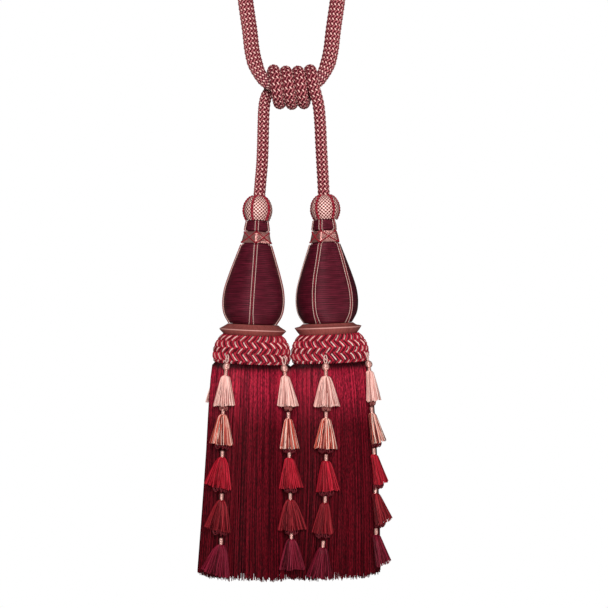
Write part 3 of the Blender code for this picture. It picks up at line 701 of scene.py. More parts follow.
# ---- Head balls ----------------------------------------------------------
# A turned ball under a fine net of pale pink silk, puffed out between five
# twisted red cords that run over it from the cord's hole to the neck.
BALL_PROFILE = (
    (-0.0085, 0.0038), (-0.0076, 0.0060), (-0.0056, 0.0082), (-0.0024, 0.0101),
    (0.0011, 0.0109), (0.0041, 0.0109), (0.0074, 0.0099), (0.0105, 0.0084),
)
BALL_PUFF = 0.045          # share of the radius that the net stands out
NET_MESHES_ROUND = 23
NET_MESH_HEIGHT = 0.0028
SHARP_DEGREES = 60


def skin_rings(bm, uv_layer, rings, round_uv, down_uv, closed=False, reverse=False):
    """Faces from ring to ring, with a UV map in metres round and down them."""
    steps = len(rings[0])
    near, far = (1, 0) if reverse else (0, 1)
    pairs = list(zip(range(len(rings)), range(1, len(rings))))
    if closed:
        pairs.append((len(rings) - 1, 0))
    faces = []
    for a, b in pairs:
        for j in range(steps):
            corners = ((j + near, a), (j + far, a), (j + far, b), (j + near, b))
            face = bm.faces.new([rings[ring][step % steps] for step, ring in corners])
            face.smooth = True
            for loop, (step, ring) in zip(face.loops, corners):
                loop[uv_layer].uv = (step / steps * round_uv, down_uv[ring])
            faces.append(face)
    return faces


def piece_from_rings(name, tassel, rings, round_uv, down_uv, closed=False):
    """A closed skin over rings of points, moved to a tassel's place."""
    bm = bmesh.new()
    uv_layer = bm.loops.layers.uv.new("UVMap")
    rings = [[bm.verts.new(point) for point in ring] for ring in rings]
    skin_rings(bm, uv_layer, rings, round_uv, down_uv, closed)
    if not closed:
        bm.faces.new(rings[0])
        bm.faces.new(rings[-1])
    bmesh.ops.recalc_face_normals(bm, faces=bm.faces)
    mesh = mesh_from(bm, name)
    mesh.transform(tassel_frame(tassel))
    return add_object(name, mesh)


def turned_piece(name, tassel, profile, segments, finish, shape=None, closed=False):
    """Spin (depth, radius) points round a tassel's axis into a closed mesh.

    Its UV map starts at the back and is true at the widest ring.
    shape(azimuth, depth, radius) may change the radius.
    """
    down = [0.0]
    for (d0, r0), (d1, r1) in zip(profile, profile[1:]):
        down.append(down[-1] + math.hypot(d1 - d0, r1 - r0))
    rings = []
    for depth, radius in profile:
        ring = []
        for j in range(segments):
            azimuth = 180 + 360 / segments * j
            here = shape(azimuth, depth, radius) if shape else radius
            ring.append(around(azimuth, here, depth))
        rings.append(ring)
    widest = max(radius for depth, radius in profile)
    piece = piece_from_rings(name, tassel, rings, 2 * math.pi * widest, down, closed)
    piece.data.set_sharp_from_angle(angle=math.radians(SHARP_DEGREES))
    piece.data.materials.append(finish)
    return piece


def uv_parts(tree):
    """How far round a piece and how far down it, in metres."""
    place = field_from(tree, "ShaderNodeTexCoord", output="UV")
    parts = add_node(tree, "ShaderNodeSeparateXYZ", {0: place}).outputs
    return Field(parts["X"]), Field(parts["Y"])


ball_net, tree, shader = new_finish("ball_net", 0.40, metallic=0.2)
round_net, down_net = uv_parts(tree)
ball_outline = smooth_profile(BALL_PROFILE, 30)
mesh_width = 2 * math.pi * max(radius for depth, radius in ball_outline) / NET_MESHES_ROUND
net_x = round_net * (math.pi / mesh_width)
net_y = down_net * (math.pi / NET_MESH_HEIGHT)
rising = calc("ABSOLUTE", calc("SINE", net_x + net_y))
falling = calc("ABSOLUTE", calc("SINE", net_x - net_y))
hole = rising * falling
colour = colour_steps(hole, (
    (0.0, (0.98, 0.66, 0.60)), (0.20, (0.86, 0.48, 0.43)), (0.44, (0.14, 0.030, 0.026)),
))
paint(shader, colour, 1.0 - hole, 0.00035)

for side_name, tassel in TASSELS.items():
    def puffed(azimuth, depth, radius):
        between = (azimuth - tassel["ball_cords_at"]) / 360 * RIB_COUNT
        return radius * (1 + BALL_PUFF * (abs(math.sin(math.pi * between)) - 0.6))

    ball = turned_piece(f"{side_name}_netted_ball", tassel, ball_outline, 120, ball_net, puffed)
    ball.data.transform(Matrix.Translation((tassel["ball"], 0.0, 0.0)))
    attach(ball, "root")
    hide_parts(f"{side_name}_ball")


# ---- Twisted cords over the balls ----------------------------------------
# Two-ply red silk cord, laid down the ball between the puffs and glued.
BALL_CORD_PLY = 0.00120
BALL_CORD_PITCH = 0.0040
BALL_CORD_OUT = 0.0006         # its middle, outside the ball

yarn_tree, yarn, yarn_out = new_geometry_tree("twisted_yarn", (
    ("Spacing", "NodeSocketFloat", 0.0005), ("Plies", "NodeSocketInt", 2),
    ("Ply Width", "NodeSocketFloat", 0.0006), ("Twist Radius", "NodeSocketFloat", 0.0003),
    ("Pitch", "NodeSocketFloat", 0.003), ("Sides", "NodeSocketInt", 5),
    ("Material", "NodeSocketMaterial"), ("Second", "NodeSocketMaterial"),
    ("Third", "NodeSocketMaterial"),
))
yarn_curve = field_from(yarn_tree, "GeometryNodeMeshToCurve", {"Mesh": yarn["Geometry"]})
yarn_route = untwisted(resampled(yarn_curve, "LENGTH", yarn["Spacing"]))
plies = field_from(
    yarn_tree, "GeometryNodeGroup",
    {
        "Route": yarn_route, "Strands": yarn["Plies"], "Pitch": yarn["Pitch"],
        "Radius": yarn["Twist Radius"], "Width": yarn["Ply Width"],
        "Thickness": yarn["Ply Width"], "Sides": yarn["Sides"],
    },
    node_tree=strand_group,
)
dye = named(yarn_tree, "dye")
yarn_mesh = with_material(plies, yarn["Material"])
for label, level in (("Second", 0.5), ("Third", 1.5)):
    yarn_mesh = with_material(yarn_mesh, yarn[label], Selection=calc("GREATER_THAN", dye, level))
set_input(yarn_out["Geometry"], smooth_and_real(yarn_mesh))


def yarn_finish(name, light, dark, roughness, pitch=0.0008):
    """A finish for one ply: fine slanting threads, darker on their crowns."""
    material, tree, shader = new_finish(name, roughness)
    lines = add_ply_lines(tree, pitch, 0.4)
    factor = lines["Grain"] * 0.5 + lines["Lines"] * 0.6
    paint(shader, mix_colour(factor, light, dark), lines["Lines"], 0.0001)
    return material


red_cord = yarn_finish("red_cord", (0.46, 0.014, 0.036), (0.10, 0.003, 0.010), 0.4, pitch=0.0012)


def tassel_routes(tassel, routes):
    """Move routes from a tassel's own axis to its place."""
    matrix = tassel_frame(tassel)
    return [[matrix @ point for point in route] for route in routes]


for side_name, tassel in TASSELS.items():
    routes = []
    for i in range(RIB_COUNT):
        azimuth = tassel["ball_cords_at"] + 360 / RIB_COUNT * i
        routes.append([
            around(azimuth, radius + BALL_CORD_OUT, depth) + Vector((tassel["ball"], 0.0, 0.0))
            for depth, radius in smooth_profile(BALL_PROFILE, 24)
        ])
    cords = edge_object(f"{side_name}_ball_cords", tassel_routes(tassel, routes))
    grow(
        cords, yarn_tree, spacing=0.0005, plies=2, ply_width=BALL_CORD_PLY,
        twist_radius=BALL_CORD_PLY * 0.45, pitch=BALL_CORD_PITCH, sides=6, material=red_cord,
    )
    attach(cords, "root")
    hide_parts(*[f"{side_name}_ball_cord_{i + 1}" for i in range(RIB_COUNT)])


# ---- Whipping in the knot ------------------------------------------------
# The loop's two ends are bound together with a dark cord, which fills the
# wraps from inside and is seen only from the side.
WHIPPING_TWINE = 0.0042
WHIPPING_TURNS = 8
WHIPPING_HALF_LENGTH = 0.0150
POINTS_PER_TURN = 20
SINGLE_PLY_PITCH = 0.01        # in which the section of a lone ply turns once

whipping_finish = yarn_finish("whipping", (0.20, 0.010, 0.020), (0.06, 0.002, 0.006), 0.5)
whipping_radius = KNOT_RADIUS - TASSEL_CORD / 2 - WHIPPING_TWINE / 2
route = []
for k in range(WHIPPING_TURNS * POINTS_PER_TURN + 1):
    turn = 2 * math.pi * k / POINTS_PER_TURN
    share = k / (WHIPPING_TURNS * POINTS_PER_TURN) * 2 - 1
    axis_z = KNOT_Z + KNOT_RISE * share ** 2
    route.append(Vector((
        share * WHIPPING_HALF_LENGTH,
        whipping_radius * math.cos(turn),
        axis_z + whipping_radius * math.sin(turn),
    )))
whipping = edge_object("knot_whipping", [route])
grow(
    whipping, yarn_tree, spacing=0.0022, plies=1, ply_width=WHIPPING_TWINE,
    twist_radius=0.0, pitch=SINGLE_PLY_PITCH, sides=6, material=whipping_finish,
)
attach(whipping, "root")


# ---- Wound moulds --------------------------------------------------------
# A turned neck and pear, wound round and round with burgundy silk, and drawn
# slightly flat between the five ribs.
MOULD_NECK = ((0.0111, 0.0084), (0.0148, 0.0094), (0.0186, 0.0096))
MOULD_SEAT = ((0.0192, 0.0078), (0.0242, 0.0090), (0.0292, 0.0102))
MOULD_PEAR = (
    (0.0300, 0.0120), (0.0420, 0.0163), (0.0540, 0.0204), (0.0640, 0.0233),
    (0.0720, 0.0244), (0.0790, 0.0242), (0.0850, 0.0227), (0.0915, 0.0188),
)
MOULD_PROFILE = (MOULD_NECK[0], MOULD_NECK[-1], MOULD_SEAT[0], MOULD_SEAT[-1]) + MOULD_PEAR
MOULD_FLATNESS = 0.03
SILK_THREAD = 0.00042
SILK_LAYER = 0.00155

# Parallel threads laid side by side, each a little different.
thread_group, thread, thread_out = new_group(
    "laid_threads", "ShaderNodeTree",
    (
        ("Over", "NodeSocketFloat"), ("Along", "NodeSocketFloat"),
        ("Width", "NodeSocketFloat", 0.0004), ("Streak Length", "NodeSocketFloat", 0.02),
    ),
    ("Ridges", "NodeSocketFloat"), ("Streaks", "NodeSocketFloat"), ("Bundles", "NodeSocketFloat"),
)
thread_turn = thread["Over"] / thread["Width"]
streak_run = thread["Along"] / thread["Streak Length"]
for label, stretch in (("Streaks", 0.8), ("Bundles", 0.16)):
    streak_place = combine(thread_group, X=thread_turn * stretch, Y=streak_run, Z=stretch * 7.0)
    set_input(thread_out[label], noise(streak_place, 1.0, detail=1.0))
set_input(thread_out["Ridges"], calc("ABSOLUTE", calc("SINE", thread_turn * math.pi)))


def add_threads(over, along, width, streak_length):
    return use_group(over.tree, thread_group, {
        "Over": over, "Along": along, "Width": width, "Streak Length": streak_length,
    })


wound_silk, tree, shader = new_finish("wound_silk", 0.46, metallic=0.30)
round_silk, down_silk = uv_parts(tree)
threads = add_threads(down_silk, round_silk, SILK_THREAD, 0.012)
layers = calc("SINE", down_silk * (2 * math.pi / SILK_LAYER))
silk_tone = threads["Bundles"] * 0.22 + threads["Streaks"] * 0.58 + (layers * 0.09 + 0.10)
colour = colour_steps(silk_tone, (
    (0.28, (0.028, 0.001, 0.004)), (0.50, (0.080, 0.004, 0.013)), (0.74, (0.165, 0.012, 0.030)),
))
paint(shader, colour, threads["Ridges"], 0.00012)


def twist_at(tassel, depth):
    """Degrees that the mould and its ribs have turned at a depth."""
    degrees, turned_by = tassel["twist"]
    return degrees * share_between(depth, MOULD_SEAT[-1][0], turned_by)


for side_name, tassel in TASSELS.items():
    def drawn_flat(azimuth, depth, radius):
        from_rib = azimuth - tassel["ribs_at"] - twist_at(tassel, depth)
        swell = math.cos(math.radians(from_rib * RIB_COUNT))
        return radius * (1 - MOULD_FLATNESS * (1 - swell) / 2)

    outline = list(MOULD_NECK) + list(MOULD_SEAT) + smooth_profile(MOULD_PEAR, 44)
    mould = turned_piece(f"{side_name}_wound_mould", tassel, outline, 100, wound_silk, drawn_flat)
    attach(mould, "root")
    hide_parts(f"{side_name}_mould")


# ---- Ribs ----------------------------------------------------------------
# A red twisted cord between two pale ones, from the ball over the neck and
# the pear to the disc; the pale cords part a little at the disc.
RIB_PLY = 0.00054
PALE_PLY = 0.00044
RIB_TWIST_PITCH = 0.0026
RIB_HALF_GAP = 0.00120     # from the red cord to a pale one
RIB_STANDOFF = 0.00050
RED_STANDOFF = 0.00028     # more, for the red cord
PARTING_FROM = 0.0840      # depth below which the pale cords part
PARTING_FALL = 0.0075
PARTING = 0.0005

pale_cord = yarn_finish("pale_cord", (0.92, 0.64, 0.57), (0.56, 0.30, 0.26), 0.36)

for side_name, tassel in TASSELS.items():
    outline = smooth_profile(MOULD_PROFILE[:5], 20)[:-1] + smooth_profile(MOULD_PEAR, 40)
    for name, ply_width, offsets, material in (
        ("red_ribs", RIB_PLY, (0,), red_cord), ("pale_rib_cords", PALE_PLY, (-1, 1), pale_cord),
    ):
        routes = []
        for i in range(RIB_COUNT):
            rib_azimuth = tassel["ribs_at"] + 360 / RIB_COUNT * i
            for across in offsets:
                standoff = RIB_STANDOFF + (RED_STANDOFF if across == 0 else 0.0)
                route = []
                for depth, radius in outline:
                    parting = max(0.0, (depth - PARTING_FROM) / PARTING_FALL) * PARTING
                    offset = across * (RIB_HALF_GAP + parting)
                    azimuth = rib_azimuth + twist_at(tassel, depth) + math.degrees(offset / radius)
                    route.append(around(azimuth, radius + standoff, depth))
                routes.append(route)
        ribs = edge_object(f"{side_name}_{name}", tassel_routes(tassel, routes))
        grow(
            ribs, yarn_tree, spacing=RIB_TWIST_PITCH / 5, plies=2, ply_width=ply_width,
            twist_radius=ply_width * 0.42, pitch=RIB_TWIST_PITCH, sides=4, material=material,
        )
        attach(ribs, "root")
        if material is red_cord:
            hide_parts(*[f"{side_name}_rib_{i + 1}" for i in range(RIB_COUNT)])


# ---- Laced bands ---------------------------------------------------------
# Pink satin wound over the ribs round the top of the pear, so that it is
# stretched flat from rib to rib, and laced crosswise with thin crimson cord.
BAND_TOP = 0.0196
BAND_END = 0.0284
BAND_CLEARANCE = 0.0016    # over the mould
BAND_THICKNESS = 0.0007
BAND_FOLD = 8.0            # degrees: half the width of the bulge over a rib
BAND_BULGE = 0.035
LACE_PLY = 0.00054
LACE_LIFT = 0.7            # of a ply, at the middle of a crossing
LACE_SUNK = 0.1            # of a ply, into the satin at its ends
LACE_STEPS = 12
EDGE_STEPS = 8
EDGE_ROUNDED = 0.0003      # off the satin's edges, and how far in its shape is read

pale_satin, tree, shader = new_finish("pale_satin", 0.30, metallic=0.85)
round_satin, down_satin = uv_parts(tree)
threads = add_threads(down_satin, round_satin, 0.00045, 0.010)
colour = mix_colour(threads["Bundles"], (0.84, 0.42, 0.38), (0.46, 0.17, 0.155))
paint(shader, colour, threads["Ridges"], 0.00010)

crimson_lace = yarn_finish("crimson_lace", (0.50, 0.012, 0.036), (0.16, 0.003, 0.010), 0.4)


def band_radius(tassel, azimuth, depth, lift=0.0):
    """Radius of the satin where it goes flat from one rib to the next."""
    inside = min(max(depth, BAND_TOP + EDGE_ROUNDED), BAND_END - EDGE_ROUNDED)
    radius = radius_at(MOULD_PROFILE, inside) + (BAND_CLEARANCE + lift)
    half = 180 / RIB_COUNT
    from_rib = abs((azimuth - tassel["ribs_at"] + half) % (2 * half) - half)
    if from_rib < BAND_FOLD:
        return radius * (1 - BAND_BULGE * (1 - math.cos(math.pi / 2 * from_rib / BAND_FOLD)))
    chord = math.cos(math.radians(half - BAND_FOLD)) / math.cos(math.radians(half - from_rib))
    return radius * (1 - BAND_BULGE) * chord


for side_name, tassel in TASSELS.items():
    profile = []
    for k in range(EDGE_STEPS + 1):
        depth = BAND_TOP + (BAND_END - BAND_TOP) * k / EDGE_STEPS
        profile.append((depth, BAND_THICKNESS - (EDGE_ROUNDED if k in (0, EDGE_STEPS) else 0.0)))
    profile += [(BAND_END, 0.0), (BAND_TOP, 0.0)]

    def stretched(azimuth, depth, lift):
        return band_radius(tassel, azimuth, depth, lift)

    band = turned_piece(
        f"{side_name}_satin_band", tassel, profile, 120, pale_satin, stretched, closed=True,
    )
    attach(band, "root")
    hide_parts(f"{side_name}_band")

    routes = []
    for i in range(RIB_COUNT):
        here = tassel["ribs_at"] + 360 / RIB_COUNT * i
        for start, end in ((BAND_TOP, BAND_END), (BAND_END, BAND_TOP)):
            route = []
            for k in range(LACE_STEPS + 1):
                azimuth = here + 360 / RIB_COUNT * k / LACE_STEPS
                depth = start + (end - start) * k / LACE_STEPS
                rise = LACE_LIFT * math.sin(math.pi * k / LACE_STEPS) - LACE_SUNK
                lift = BAND_THICKNESS + LACE_PLY * rise
                route.append(around(azimuth, band_radius(tassel, azimuth, depth, lift), depth))
            routes.append(route)
        for edge, beyond in ((BAND_TOP, 0.0002), (BAND_END, -0.0006)):
            for turn in range(2):
                depth = edge + beyond + 0.0005 * turn
                route = []
                for k in range(9):
                    azimuth = here + 1.6 * (k - 4)
                    radius = band_radius(tassel, azimuth, edge, BAND_THICKNESS + 0.0001)
                    route.append(around(azimuth, radius, depth))
                routes.append(route)
    lacing = edge_object(f"{side_name}_lacing", tassel_routes(tassel, routes))
    grow(
        lacing, yarn_tree, spacing=0.0004, plies=2, ply_width=LACE_PLY,
        twist_radius=LACE_PLY * 0.45, pitch=0.0020, sides=4, material=crimson_lace,
    )
    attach(lacing, "root")


# ---- Discs ---------------------------------------------------------------
# A thin turned disc, wound over its rim with rose satin, with a painted highlight along the rim.
DISC_TOP = ((0.0919, 0.0198), (0.0936, 0.0222), (0.0950, 0.0246), (0.0960, 0.0261))
DISC_RIM_DOWN = 0.0077      # along the outline from the top edge to the rim
RIM_HIGHLIGHT_WIDTH = 0.0007     # to either side, of the painted highlight along the rim
DISC_BOTTOM = ((0.0965, 0.0261), (0.0984, 0.0244), (0.1005, 0.0222))

rose_satin, tree, shader = new_finish("rose_satin", 0.42, metallic=0.3, specular=0.3)
round_disc, down_disc = uv_parts(tree)
threads = add_threads(round_disc, down_disc, 0.00060, 0.006)
colour = mix_colour(threads["Streaks"], (0.44, 0.120, 0.102), (0.18, 0.036, 0.032))
# A painted highlight: a pale pink line along the rim, fading out to either side.
off_rim = calc("ABSOLUTE", down_disc - DISC_RIM_DOWN)
painted_rim_highlight = calc("MAXIMUM", off_rim * (-1 / RIM_HIGHLIGHT_WIDTH) + 1.0, 0.0)
paint(shader, mix_colour(painted_rim_highlight, colour, (0.84, 0.44, 0.39)), threads["Ridges"], 0.00008)

for side_name, tassel in TASSELS.items():
    aside, rim_up = tassel["disc"]
    profile = []
    for depth, radius in smooth_profile(DISC_TOP + DISC_BOTTOM, 26):
        share = share_between(radius, DISC_BOTTOM[-1][1], DISC_TOP[-1][1])
        profile.append((depth - rim_up * share, radius))
    disc = turned_piece(f"{side_name}_satin_disc", tassel, profile, 120, rose_satin)
    disc.data.transform(Matrix.Translation((aside, 0.0, 0.0)))
    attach(disc, "root")
    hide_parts(f"{side_name}_disc")


# ---- Plaited collars -----------------------------------------------------
# A bulging ruff plaited from flat groups of cords, one pale cord and three
# crimson ones side by side, the middle crimson one painted near black as
# painted shade between the cords.  Its rows slant one way and then the other.
COLLAR_COLUMNS = 24
COLLAR_PROFILE = (
    (0.1012, 0.0239), (0.1042, 0.0263), (0.1078, 0.0283), (0.1115, 0.0294),
    (0.1152, 0.0298), (0.1188, 0.0298), (0.1212, 0.0289),
)
COLLAR_TOP = 0.1009
COLLAR_HOLE = 0.0200
# depth of the row's middle, half its height, half its width in columns,
# slant, and its shift in columns
COLLAR_ROWS = (
    (0.1030, 0.0026, 0.32, 1, 0.50),
    (0.1075, 0.0031, 0.33, -1, 0.00),
    (0.1121, 0.0029, 0.29, 1, 0.50),
    (0.1169, 0.0036, 0.35, -1, 0.00),
    (0.1208, 0.0013, 0.14, 1, 0.60),
)
COLLAR_PLY = 0.00080
COLLAR_ARCH = 0.00140
PALE_BAR = 0.74            # length of a pale bar to that of a red one

plait_red = yarn_finish("plait_red", (0.74, 0.026, 0.065), (0.22, 0.005, 0.014), 0.48, pitch=0.0017)
# The near-black plait cord is painted shade between the crimson cords.
plait_dark = yarn_finish("plait_dark", (0.24, 0.006, 0.018), (0.04, 0.001, 0.004), 0.5, pitch=0.0017)
plait_pale = yarn_finish("plait_pale", (0.98, 0.74, 0.68), (0.56, 0.25, 0.22), 0.45, pitch=0.0015)
plait_shade, tree, shader = new_finish("plait_shade", 0.8)
paint(shader, mix_colour(
    noise(object_place(tree), 700.0), (0.05, 0.002, 0.008), (0.11, 0.006, 0.018),
))

for side_name, tassel in TASSELS.items():
    rng = random.Random(tassel["seed"] + 1)
    routes = []
    dyes = []
    for middle, half_height, half_width, slant, shift in COLLAR_ROWS:
        for column in range(COLLAR_COLUMNS):
            # Dye 1 is the near-black cord of painted shade between the crimson ones.
            for lane, dye in enumerate((2, 0, 1, 0)):
                centre = tassel["plait_at"] + (column + shift + lane / 4) * 360 / COLLAR_COLUMNS
                jitter = rng.uniform(-1.0, 1.0)
                route = []
                for k in range(8):
                    t = k / 7 * 2 - 1
                    reach = t * (PALE_BAR if dye == 2 else 1.0)
                    azimuth = centre + jitter + slant * reach * half_width * 360 / COLLAR_COLUMNS
                    depth = middle - reach * half_height
                    arch = COLLAR_ARCH * (1 - t ** 4) - 0.0010
                    radius = radius_at(COLLAR_PROFILE, depth) + arch
                    route.append(around(azimuth, radius, depth))
                routes.append(route)
                dyes.append(dye)
    plait = edge_object(f"{side_name}_plait", tassel_routes(tassel, routes), dye=dyes)
    grow(
        plait, yarn_tree, spacing=0.0010, plies=2, ply_width=COLLAR_PLY,
        twist_radius=COLLAR_PLY * 0.40, pitch=0.0032, sides=4,
        material=plait_red, second=plait_dark, third=plait_pale,
    )
    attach(plait, "root")
    inner = [(depth, radius - 0.0006) for depth, radius in COLLAR_PROFILE]
    ring_profile = inner + [(COLLAR_PROFILE[-1][0], COLLAR_HOLE), (COLLAR_TOP, COLLAR_HOLE)]
    ring = turned_piece(
        f"{side_name}_collar_ring", tassel, ring_profile, 96, plait_shade, closed=True,
    )
    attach(ring, "root")
    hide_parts(f"{side_name}_collar")


# ---- Skirts --------------------------------------------------------------
# Cut skirts of fine crimson, burgundy and plum threads, bound inside the
# collar.  They hang nearly plumb and press together between the tassels.
SKIRT_TOP = 0.1240
SKIRT_LENGTH = 0.1580
SKIRT_END = 0.2820
SKIRT_PROFILE = (
    (0.1240, 0.0268), (0.1290, 0.0307), (0.2050, 0.0343), (0.2820, 0.0384),
)
SKIRT_RAGGED = 0.0019
HEM_LOWER = 0.0008         # that the longest threads hang below the solid
HEM_SIDES_LOWER = 0.0024   # and more at the sides than in front
HEM_CLUMPS = 0.0011        # by which a clump of threads is longer or shorter
SKIRT_THREADS = 2200
SKIRT_THREAD_WIDTH = 0.00054
SKIRT_DEPTH = 0.0050       # how deep the loose threads lie over the core
SLOT = 0.0007              # each skirt's core stops this far short of the middle
MINGLE = 0.0004            # and its loose threads reach this far past it
PRESSED = (0.0135, 0.0190)     # the skirts are pressed flat together up to here
PRESSED_FROM = 0.1220
THREADS_PER_CLUMP = 9.0
FALL_POWER = 1.8           # a thread's points crowd towards its top
RIPPLE = 0.007             # radians that a thread waves to and fro
DRIFT = 0.020              # radians that it drifts by its end
LAYER_POWER = 1.6
LAYERS_APART = 0.0016      # where the deepest threads stop short of the middle
PRESSED_SOFTLY = 0.0004
FULL_TURN = 6.283


def reach_to_middle(tassel, depth):
    """Distance from the leaning axis to the plane between the two tassels."""
    return abs(tassel["place"][0]) + depth * math.sin(math.radians(tassel["lean"]))


def hang_shift(tassel, depth):
    """How far the skirt hangs towards the other tassel at a depth."""
    below = max(0.0, depth - SKIRT_TOP) / SKIRT_LENGTH
    return tassel["sway"] * below - tassel["bow"] * 4 * below * (1 - below)


def hang_point(tassel, azimuth, radius, depth):
    """Point below the collar, kept on its own side of the middle plane."""
    place = around(azimuth, radius, depth)
    place.x -= tassel["side"] * hang_shift(tassel, depth)
    limit = reach_to_middle(tassel, depth)
    if -tassel["side"] * place.x > limit:
        place.x = -tassel["side"] * limit
    return place


def skirt_point(tassel, azimuth, radius, depth, inset):
    """Point of a skirt, pressed flat where it meets the other tassel's."""
    place = around(azimuth, radius, depth)
    inwards = -tassel["side"] * place.x + hang_shift(tassel, depth)
    share = radius / radius_at(SKIRT_PROFILE, depth)
    pressed = 1.0 - share_between(abs(place.y) / share, *PRESSED)
    pressed *= share_between(depth, PRESSED_FROM, SKIRT_TOP)
    limit = reach_to_middle(tassel, depth) - SLOT - inset
    if inwards > 0:
        inwards += max(0.0, limit * share - inwards) * pressed
    place.x = -tassel["side"] * min(inwards, limit)
    return place


skirt_tree, skirt, skirt_out = new_geometry_tree("cut_skirt", (
    ("Threads", "NodeSocketInt", 2000), ("Levels", "NodeSocketInt", 9),
    ("Thread Width", "NodeSocketFloat", 0.0006), ("Top", "NodeSocketFloat", 0.124),
    ("Fall", "NodeSocketFloat", 0.16), ("Ragged", "NodeSocketFloat", 0.003),
    ("Depth", "NodeSocketFloat", 0.005), ("Side", "NodeSocketFloat", 1.0),
    ("Middle", "NodeSocketFloat", 0.026), ("Lean", "NodeSocketFloat", 0.04),
    ("Sway", "NodeSocketFloat", 0.003), ("Bow", "NodeSocketFloat", 0.0),
    ("Seed", "NodeSocketInt", 1), ("Ball", "NodeSocketVector"), ("Material", "NodeSocketMaterial"),
))


def between_field(value, low, high):
    """Where a value lies between two limits, from 0 to 1."""
    return field_from(value.tree, "ShaderNodeMapRange", {0: value, 1: low, 2: high})


def random_numbers(seed, identity, ranges, first_offset=1):
    """A random number for each (low, high), the same for the same identity."""
    return [
        field_from(
            seed.tree, "FunctionNodeRandomValue",
            {2: low, 3: high, "Seed": seed + float(offset), "ID": identity}, 1, data_type="FLOAT",
        )
        for offset, (low, high) in enumerate(ranges, first_offset)
    ]


hair_line = field_from(
    skirt_tree, "GeometryNodeCurvePrimitiveLine", {"Start": (0.0, 0.0, 0.0), "End": (0.0, 0.0, -1.0)},
)
hairs, number = copies_of(resampled(hair_line, "COUNT", skirt["Levels"]), skirt["Threads"])
spin, layer, drift, uneven, tint, phase = random_numbers(skirt["Seed"], number, (
    (0.0, 1.0), (0.0, 1.0), (-1.0, 1.0), (-1.0, 1.0), (0.0, 1.0), (0.0, FULL_TURN),
))
fallen = calc("POWER", along_spline(skirt_tree, "Factor"), FALL_POWER)
ripple = calc("SINE", fallen * 7.0 + phase)
wander = ripple * RIPPLE + drift * DRIFT * fallen
hair_turn = (number + spin) / skirt["Threads"] * (2 * math.pi) + wander

# how far down the thread is here, with its own length
clump_number = calc("FLOOR", number / THREADS_PER_CLUMP)
clump = random_numbers(skirt["Seed"], clump_number, ((-1.0, 1.0),), first_offset=7)[0]
to_side = calc("ABSOLUTE", calc("SINE", hair_turn))
longer = clump * HEM_CLUMPS + (to_side * HEM_SIDES_LOWER + HEM_LOWER)
reach_down = uneven * skirt["Ragged"] + skirt["Fall"] + longer
depth_now = reach_down * fallen + skirt["Top"]

# how far out it hangs: on the skirt's profile, or deeper in its own layer
swell = add_node(skirt_tree, "ShaderNodeFloatCurve", {"Value": fallen})
low_radius, high_radius = SKIRT_PROFILE[0][1], SKIRT_PROFILE[-1][1]
swell_curve = swell.mapping.curves[0]
for i, (depth, radius) in enumerate(SKIRT_PROFILE):
    where = (depth - SKIRT_TOP) / (SKIRT_END - SKIRT_TOP)
    value = (radius - low_radius) / (high_radius - low_radius)
    if i in (0, len(SKIRT_PROFILE) - 1):
        swell_curve.points[0 if i == 0 else -1].location = (where, value)
    else:
        swell_curve.points.new(where, value)
swell.mapping.update()
inward = calc("POWER", layer, LAYER_POWER) * skirt["Depth"] * (fallen * 0.75 + 0.25)
hair_radius = Field(swell.outputs[0]) * (high_radius - low_radius) + low_radius - inward

# how near the plane between the tassels it comes, where it is pressed flat
below = calc("MAXIMUM", depth_now - SKIRT_TOP, 0.0) / SKIRT_LENGTH
swing = below * ((1.0 - below) * skirt["Bow"] * -4.0 + skirt["Sway"])
towards_middle = calc("SINE", hair_turn) * hair_radius * skirt["Side"] * -1.0 + swing
limit = depth_now * calc("SINE", skirt["Lean"]) + skirt["Middle"] + MINGLE
place_y = calc("COSINE", hair_turn) * hair_radius
pressed = 1.0 - between_field(calc("ABSOLUTE", place_y), *PRESSED)
pressed = pressed * between_field(depth_now, PRESSED_FROM, SKIRT_TOP)
pressed = pressed * calc("GREATER_THAN", towards_middle, 0.0)
pushed = calc("MAXIMUM", limit - towards_middle, 0.0)
towards_middle = pushed * pressed + towards_middle
towards_middle = calc("SMOOTH_MIN", towards_middle, limit - layer * LAYERS_APART, PRESSED_SOFTLY)
hair_place = combine(
    skirt_tree, X=towards_middle * skirt["Side"] * -1.0, Y=place_y * -1.0, Z=depth_now * -1.0,
)

hair_curves, (tint_kept, fallen_kept) = keep_on_points(
    hairs, tint=("FLOAT", tint), fallen=("FLOAT", fallen),
)
hair_set = field_from(
    skirt_tree, "GeometryNodeSetPosition", {"Geometry": hair_curves, "Position": hair_place},
)
lean_turn = combine(skirt_tree, Y=skirt["Lean"] * skirt["Side"] * -1.0)
hair_hung = field_from(
    skirt_tree, "GeometryNodeTransform",
    {"Geometry": hair_set, "Translation": skirt["Ball"], "Rotation": lean_turn},
)
hair_mesh = sweep(hair_hung, round_section(skirt_tree, 3, skirt["Thread Width"] * 0.5))
hair_mesh = store(store(hair_mesh, "tint", tint_kept), "fallen", fallen_kept)
set_input(skirt_out["Geometry"], smooth_and_real(with_material(hair_mesh, skirt["Material"])))

SKIRT_DYES = (
    (0.00, (0.050, 0.002, 0.006)), (0.32, (0.130, 0.004, 0.014)), (0.52, (0.300, 0.009, 0.028)),
    (0.74, (0.580, 0.022, 0.055)), (1.00, (0.240, 0.010, 0.038)),
)
skirt_thread, tree, shader = new_finish("skirt_thread", 0.45, specular=0.08)
grain_place = field_from(
    tree, "ShaderNodeMapping", {"Vector": object_place(tree), "Scale": (1.0, 1.0, 0.30)},
)
grain = noise(grain_place, 1400.0, detail=1.0) * 1.5 - 0.50
tone = attribute(tree, "tint") * 0.55 + grain * 0.65
